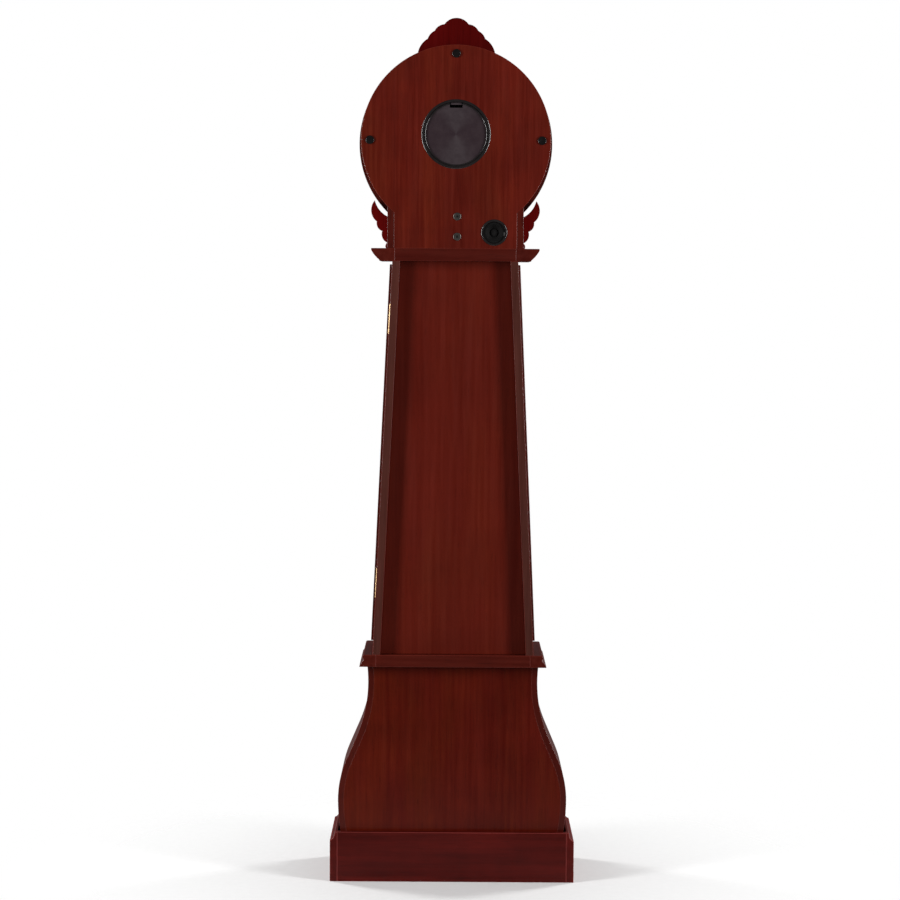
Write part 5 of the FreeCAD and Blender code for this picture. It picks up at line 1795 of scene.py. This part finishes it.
@dataclass
class AccessPort:
    """The round opening behind the movement: its ring and its cover with a spring latch."""

    shelf: Flat = (9.2 * MM, 2.0 * MM)
    well: float = 5.2 * MM
    flange: Flat = (3.5 * MM, 1.0 * MM)
    flank: float = 30.0
    rounding: float = 1.8 * MM
    arris: float = 0.3 * MM
    rim: Flat = (3.6 * MM, 2.0 * MM)
    notch: Flat = (13.2 * MM, 54.0 * MM)
    latch: Flat = (11.0 * MM, 59.8 * MM)
    softening: float = 0.4 * MM

    def build(self) -> None:
        """Moulds the ring and the cover."""
        self.ring()
        self.cover()

    def ring(self) -> None:
        """Turns the ring: a flange on the panel, a wall through it and a shelf inside."""
        room = Room.of("access_ring")
        outer, depth = room.size.x / 2, room.size.y
        turn = self.rounding
        inner = outer - self.well
        ledge = outer - self.shelf[0]
        wall = outer - self.flange[0]
        flange_front = depth - self.flange[1]
        rings: list[Ring] = [(ledge, 0.0), (ledge, self.shelf[1]), (inner, self.shelf[1])]
        rings += arc((inner + self.arris, depth - self.arris), self.arris, 180.0, 90.0, 2)
        rings += arc((outer - turn, depth - turn), turn, 90.0, self.flank)
        rings += [(outer, flange_front), (wall, flange_front), (wall, 0.0)]
        seat = Seat.of("access_ring")
        at = (room.centre.x, room.low.y, room.centre.z)
        turned_piece(
            "access_ring_moulded", rings, PALETTE.ring, seat, at, steps=288, hollow=True
        )

    def outline(self, radius: float, steps: int = 120) -> list[Flat]:
        """A disc's outline with a square notch cut down from its top.

        Args:
            radius: the disc's radius.
            steps: how many chords go round it.

        Returns:
            The corners as across and up.
        """
        half, foot = self.notch
        start = math.asin(half / radius)
        sweep = math.tau - 2 * start
        angles = [start + sweep * step / steps for step in range(steps + 1)]
        return [
            (half, foot),
            *((radius * math.sin(a), radius * math.cos(a)) for a in angles),
            (-half, foot),
        ]

    def cover(self) -> None:
        """Moulds the cover's notched face and its latch, and puts the raised rim round it."""
        room = Room.of("access_cover")
        radius, depth = room.size.x / 2, room.size.y
        wide, high = self.rim
        face = depth - high
        half, foot = self.latch
        top = math.sqrt(radius**2 - half**2)
        form = bmesh.new()
        slab(form, self.outline(radius - wide / 2), 0.0, face)
        slab(form, [(-half, foot), (half, foot), (half, top), (-half, top)], 0.0, face)
        at = (room.centre.x, room.low.y, room.centre.z)
        piece = settled("access_cover_moulded", form, PALETTE.cover, Seat.of("access_cover"), at)
        bevel = piece.modifiers.new("eased_edges", "BEVEL")
        bevel.width = self.softening
        bevel.segments = 2
        bevel.limit_method = "ANGLE"
        bevel.angle_limit = math.radians(40.0)
        self.hoop(radius, depth, at)

    def hoop(self, radius: float, depth: float, at: Sequence[float]) -> None:
        """Turns the raised rim of the cover, cut away at the latch.

        Args:
            radius: the cover's radius.
            depth: the cover's thickness.
            at: the middle of the cover's inner face.
        """
        wide, high = self.rim
        arris = self.arris
        rings: list[Ring] = [(radius, 0.0), (radius - wide, 0.0)]
        rings += arc((radius - wide + high, depth - high), high, 180.0, 90.0)
        rings += arc((radius - arris, depth - arris), arris, 90.0, 0.0, 2)
        form = bmesh.new()
        spin(form, rings, steps=144, hollow=True)
        gap = [face for face in form.faces if self.in_notch(face.calc_center_median())]
        bmesh.ops.delete(form, geom=gap, context="FACES")
        bmesh.ops.holes_fill(form, edges=[e for e in form.edges if e.is_boundary], sides=0)
        settled("access_cover_rim", form, PALETTE.ring, Seat.beside("access_cover"), at)

    def in_notch(self, point: Vector) -> bool:
        """True for a point of the rim that the latch's notch cuts away."""
        return point.z > 0 and abs(point.x) < self.notch[0]


def middles(node: str) -> list[Flat]:
    """Finds the middle of each separate round fitting in a node.

    Args:
        node: the node of the working model.

    Returns:
        The middles as across and up, from left to right and bottom to top.
    """
    form = bare_form(node)
    left = set(form.verts)
    found = []
    while left:
        heap, island = [left.pop()], []
        while heap:
            vert = heap.pop()
            island.append(vert)
            near = {edge.other_vert(vert) for edge in vert.link_edges} & left
            left -= near
            heap += near
        xs = [v.co.x for v in island]
        zs = [v.co.z for v in island]
        found.append(((min(xs) + max(xs)) / 2, (min(zs) + max(zs)) / 2))
    form.free()
    return sorted(found)


@dataclass
class Bumpers:
    """The rubber bumpers on the hood's back, each a low dome with a dished middle."""

    lip: float = 1.1 * MM
    dish_rim: float = 0.62
    dish_floor: float = 0.5
    dish_fall: Flat = (0.5 * MM, 0.7 * MM)

    def build(self) -> None:
        """Moulds them as one piece."""
        node = "wall_bumpers"
        room = Room.of(node)
        centres = middles(node)
        radius = room.high.z - max(z for _, z in centres)
        thick = room.size.y
        edge, middle = (thick - fall for fall in self.dish_fall)
        rings: list[Ring] = [(0.0, 0.0), (radius, 0.0)]
        rings += arc((radius - self.lip, thick - self.lip), self.lip, 0.0, 90.0, 5)
        rings += [(radius * self.dish_rim, thick), (radius * self.dish_floor, edge), (0.0, middle)]
        form = bmesh.new()
        for centre in centres:
            spin(form, rings, steps=48, at=centre)
        settled("wall_bumpers_moulded", form, PALETTE.rubber, Seat.of(node), (0.0, room.low.y, 0.0))


@dataclass
class Bolts:
    """The connector bolts of the hood with their round heads and hexagon sockets."""

    shank_share: float = 0.5
    shank_reach: float = 20.0 * MM
    sunk: float = 0.3 * MM
    crown_share: float = 0.8
    socket_share: float = 0.3
    socket_rim: float = 0.45
    socket_depth: Flat = (2.6 * MM, 3.0 * MM)

    def build(self) -> None:
        """Turns the heads and the stretch of each shank that is in the board."""
        node = "connector_bolts"
        room = Room.of(node)
        board = Room.of("hood_back_panel").high.y
        radius = room.size.x / 2
        shank = radius * self.shank_share
        rise = room.high.y - board
        turn = self.crown_share * rise
        socket = polygon_radius(6, radius * self.socket_share)
        wall, floor = (rise - depth for depth in self.socket_depth)
        rings: list[Ring] = [(shank, -self.shank_reach), (shank, -self.sunk), (radius, -self.sunk)]
        rings += arc((radius - turn, rise - turn), turn, 0.0, 90.0, 5)
        rings += [(radius * self.socket_rim, rise), (socket, rise), (socket, wall), (0.0, floor)]
        form = bmesh.new()
        for centre in middles(node):
            spin(form, rings, steps=48, at=centre)
        bmesh.ops.holes_fill(form, edges=[e for e in form.edges if e.is_boundary], sides=0)
        settled("connector_bolt_heads", form, PALETTE.bolt, Seat.of(node), (0.0, board, 0.0))


@dataclass
class FixingBlock:
    """The block inside the hood that the connector bolts hold on to."""

    easing: Easing = Easing(width=0.6 * MM)

    def build(self) -> None:
        """Makes the block with eased edges."""
        self.easing.ease("fixing_block", PALETTE.inside)


@dataclass
class Speaker:
    """The chime speaker: its flanged basket, rolled surround, paper cone and solder tag."""

    flange: Flat = (3.0 * MM, 2.2 * MM)
    flange_draft: float = 0.2 * MM
    lip: float = 1.6 * MM
    face_width: float = 5.0 * MM
    chamfer: Flat = (0.8 * MM, 1.0 * MM)
    well: float = 5.0 * MM
    ledge: Flat = (3.0 * MM, 1.0 * MM)
    bore: Flat = (6.0 * MM, 8.0 * MM)
    surround_edge: Flat = (1.0 * MM, 4.0 * MM)
    roll: float = 2.4 * MM
    roll_fall: float = 1.4 * MM
    cone_top: Flat = (0.5 * MM, 2.0 * MM)
    cone_foot: Flat = (0.42, 8.0 * MM)
    cap_share: float = 0.4
    cap_rise: float = 2.6 * MM
    cap_tip: float = 0.2 * MM
    cap_angles: tuple[float, ...] = (0.0, 0.4, 0.8, 1.2)
    tag: tuple[float, float, float] = (2.2 * MM, 6.5 * MM, 0.5 * MM)
    tag_gap: float = 0.4 * MM
    tag_tops: Flat = (1.4 * MM, 0.6 * MM)
    tag_lift: float = 0.3 * MM

    def build(self) -> None:
        """Makes the basket, the cone inside it and the tag at its side."""
        room = Room.of("speaker_frame")
        reach = room.size.x / 2 - self.face_width
        self.basket(room, reach)
        cone = Room.of("speaker_cone")
        self.cone(cone, reach)
        self.solder_tag((room.centre.x, cone.high.y, room.centre.z), reach)

    def basket(self, room: Room, inner: float) -> None:
        """Turns the basket.

        Args:
            room: the speaker frame's room.
            inner: the radius of the opening in its face.
        """
        radius, front = room.size.x / 2, room.size.y
        wall = radius - self.flange[0]
        bore = radius - self.bore[0]
        under = front - self.flange[1]
        lip = self.lip
        well = front - self.well
        rings: list[Ring] = [(bore, 0.0), (wall, 0.0)]
        rings += [(wall, under - self.flange_draft), (radius, under)]
        rings += arc((radius - lip, front - lip), lip, 0.0, 90.0, 5)
        rings += [(inner + self.chamfer[0], front), (inner, front - self.chamfer[1])]
        rings += [(inner, well), (inner - self.ledge[0], well - self.ledge[1])]
        rings.append((bore, front - self.bore[1]))
        seat = Seat.of("speaker_frame")
        at = (room.centre.x, room.low.y, room.centre.z)
        turned_piece("speaker_basket", rings, PALETTE.ring, seat, at, hollow=True, crease=50.0)

    def cone(self, room: Room, reach: float) -> None:
        """Presses the paper cone with its rolled surround and dust cap.

        Args:
            room: the speaker cone's room.
            reach: the radius of the opening in the basket's face.
        """
        top, edge, roll = room.high.y, room.size.x / 2, self.roll
        near, far = self.surround_edge
        foot = top - self.cone_foot[1]
        cap = reach * self.cap_share
        rings: list[Ring] = [(edge, top - far), (edge, top - near)]
        rings += arc((edge - roll, top - self.roll_fall), roll, 12.0, 168.0, 8)
        rings.append((edge - 2 * roll - self.cone_top[0], top - self.cone_top[1]))
        rings.append((reach * self.cone_foot[0], foot))
        rings += [
            (cap * math.cos(turn), foot + self.cap_rise * math.sin(turn))
            for turn in self.cap_angles
        ]
        rings.append((0.0, foot + self.cap_rise + self.cap_tip))
        rings = [(radius, min(depth, top) - room.centre.y) for radius, depth in rings]
        seat = Seat.of("speaker_cone")
        turned_piece("speaker_cone_pressed", rings, PALETTE.paper, seat, room.centre, steps=72)

    def solder_tag(self, middle: Sequence[float], reach: float) -> None:
        """Cuts the tag that stands just inside the opening, at its left.

        Args:
            middle: the middle of the cone's front.
            reach: the radius of the opening in the basket's face.
        """
        wide, high, thick = self.tag
        left = self.tag_gap - reach
        right = left + wide
        outer_top, inner_top = self.tag_tops
        outline = [(left, -high), (right, -high), (right, inner_top), (left, outer_top)]
        form = bmesh.new()
        slab(form, outline, 0.0, thick)
        at = (middle[0], middle[1] + self.tag_lift, middle[2])
        settled("speaker_tag", form, PALETTE.steel, Seat.beside("speaker_frame", "steel"), at)


# ---------------------------------------------------------------------------------------
# Studio
# ---------------------------------------------------------------------------------------


@dataclass
class Studio:
    """A pale floor, four tall soft lights and the camera behind the clock."""

    floor_reach: float = 0.95
    lens: float = 106.89
    stand_off: float = 5.5
    eye_height: float = 1.24106
    sideways: float = 0.0086
    tilt: float = 3.533
    lean: float = 0.34
    light_distance: float = 2.6
    light_angle: float = 58.0
    light_size: Flat = (0.55, 2.2)
    light_height: float = 1.6
    light_power: float = 66.0
    surround: float = 0.09
    paper: Flat = (0.84, 0.87)
    fade_start: float = 0.3
    floor_drop: float = 0.2 * MM

    def build(self) -> None:
        """Sets up everything that isn't part of the clock."""
        self.world()
        self.floor()
        self.lights()
        self.camera()

    def world(self) -> None:
        """A plain white backdrop that lights the clock only faintly."""
        world = bpy.data.worlds.new("studio")
        bpy.context.scene.world = world
        world.use_nodes = True
        tree = world.node_tree
        tree.nodes.clear()
        seen = tree.nodes.new("ShaderNodeBackground")
        seen.inputs["Color"].default_value = (1.0, 1.0, 1.0, 1.0)
        dim = tree.nodes.new("ShaderNodeBackground")
        dim.inputs["Strength"].default_value = self.surround
        rays = tree.nodes.new("ShaderNodeLightPath")
        mix = tree.nodes.new("ShaderNodeMixShader")
        output = tree.nodes.new("ShaderNodeOutputWorld")
        tree.links.new(rays.outputs["Is Camera Ray"], mix.inputs[0])
        tree.links.new(dim.outputs[0], mix.inputs[1])
        tree.links.new(seen.outputs[0], mix.inputs[2])
        tree.links.new(mix.outputs[0], output.inputs[0])
        bpy.context.scene.view_settings.view_transform = "Standard"

    def floor(self) -> None:
        """A round pale floor that melts into the backdrop at its rim."""
        form = bmesh.new()
        bmesh.ops.create_circle(form, cap_ends=True, segments=96, radius=self.floor_reach)
        mesh = bpy.data.meshes.new("studio_floor")
        form.to_mesh(mesh)
        form.free()
        sheet = NodeSheet("floor_paper")
        point = sheet.place()
        length = sheet.node("ShaderNodeVectorMath", operation="LENGTH")
        sheet.join(point, length.inputs[0])
        tooth = sheet.noise(point, scale=60.0, detail=4.0)
        dim, pale = ((tone,) * 3 for tone in self.paper)
        sheet.setting("Base Color", sheet.ramp(tooth, [(0.3, dim), (0.7, pale)]))
        sheet.setting("Roughness", 0.95)
        fade = (self.floor_reach * self.fade_start, self.floor_reach)
        sheet.setting("Alpha", sheet.eased(length.outputs["Value"], fade, (1.0, 0.0)))
        mesh.materials.append(sheet.material)
        piece = bpy.data.objects.new("studio_floor", mesh)
        piece.location = (0.0, 0.0, -self.floor_drop)
        bpy.context.scene.collection.objects.link(piece)

    def lights(self) -> None:
        """Four tall soft boxes, one off each corner of the clock."""
        near, far = self.light_angle, 180.0 - self.light_angle
        for number, angle in enumerate((near, far, -far, -near)):
            turn = math.radians(angle)
            lamp = bpy.data.lights.new(f"soft_box_{number}", "AREA")
            lamp.shape = "RECTANGLE"
            lamp.size, lamp.size_y = self.light_size
            lamp.energy = self.light_power
            box = bpy.data.objects.new(lamp.name, lamp)
            out = Vector((math.sin(turn), math.cos(turn), 0.0))
            box.location = out * self.light_distance + Vector((0.0, 0.0, self.light_height))
            box.rotation_euler = out.to_track_quat("Z", "Y").to_euler()
            box.visible_camera = False
            bpy.context.scene.collection.objects.link(box)

    def camera(self) -> None:
        """A long lens behind the clock, a little above its middle and tipped down."""
        data = bpy.data.cameras.new("camera")
        data.lens = self.lens
        camera = bpy.data.objects.new("camera", data)
        look = Euler((math.pi / 2 - math.radians(self.tilt), 0.0, math.pi)).to_matrix().to_4x4()
        roll = Matrix.Rotation(math.radians(self.lean), 4, "Z")
        back = Room.of("hood_back_panel").high.y
        at = Matrix.Translation((self.sideways, back + self.stand_off, self.eye_height))
        camera.matrix_world = at @ look @ roll
        bpy.context.scene.collection.objects.link(camera)
        bpy.context.scene.camera = camera


def main() -> None:
    """Builds the clock from the floor up, then the studio round it."""
    logging.basicConfig(level=logging.INFO, format="%(name)s: %(message)s")
    for part in (
        Plinth(),
        Base(),
        Belt("sill", "sill_board", PALETTE.case, Easing(width=0.9 * MM)),
        Trunk(),
        Door(),
        Belt("cornice", "hood_seat_board", PALETTE.inside, Easing(width=0.8 * MM)),
        Hood(),
        Carvings(),
        Dial(),
        DialFittings(),
        Movement(),
        Pendulum(),
        AccessPort(),
        Bumpers(),
        Bolts(),
        Speaker(),
        FixingBlock(),
        Studio(),
    ):
        part.build()
        LOG.info("%s is done", type(part).__name__)


if __name__ == "__main__":
    main()
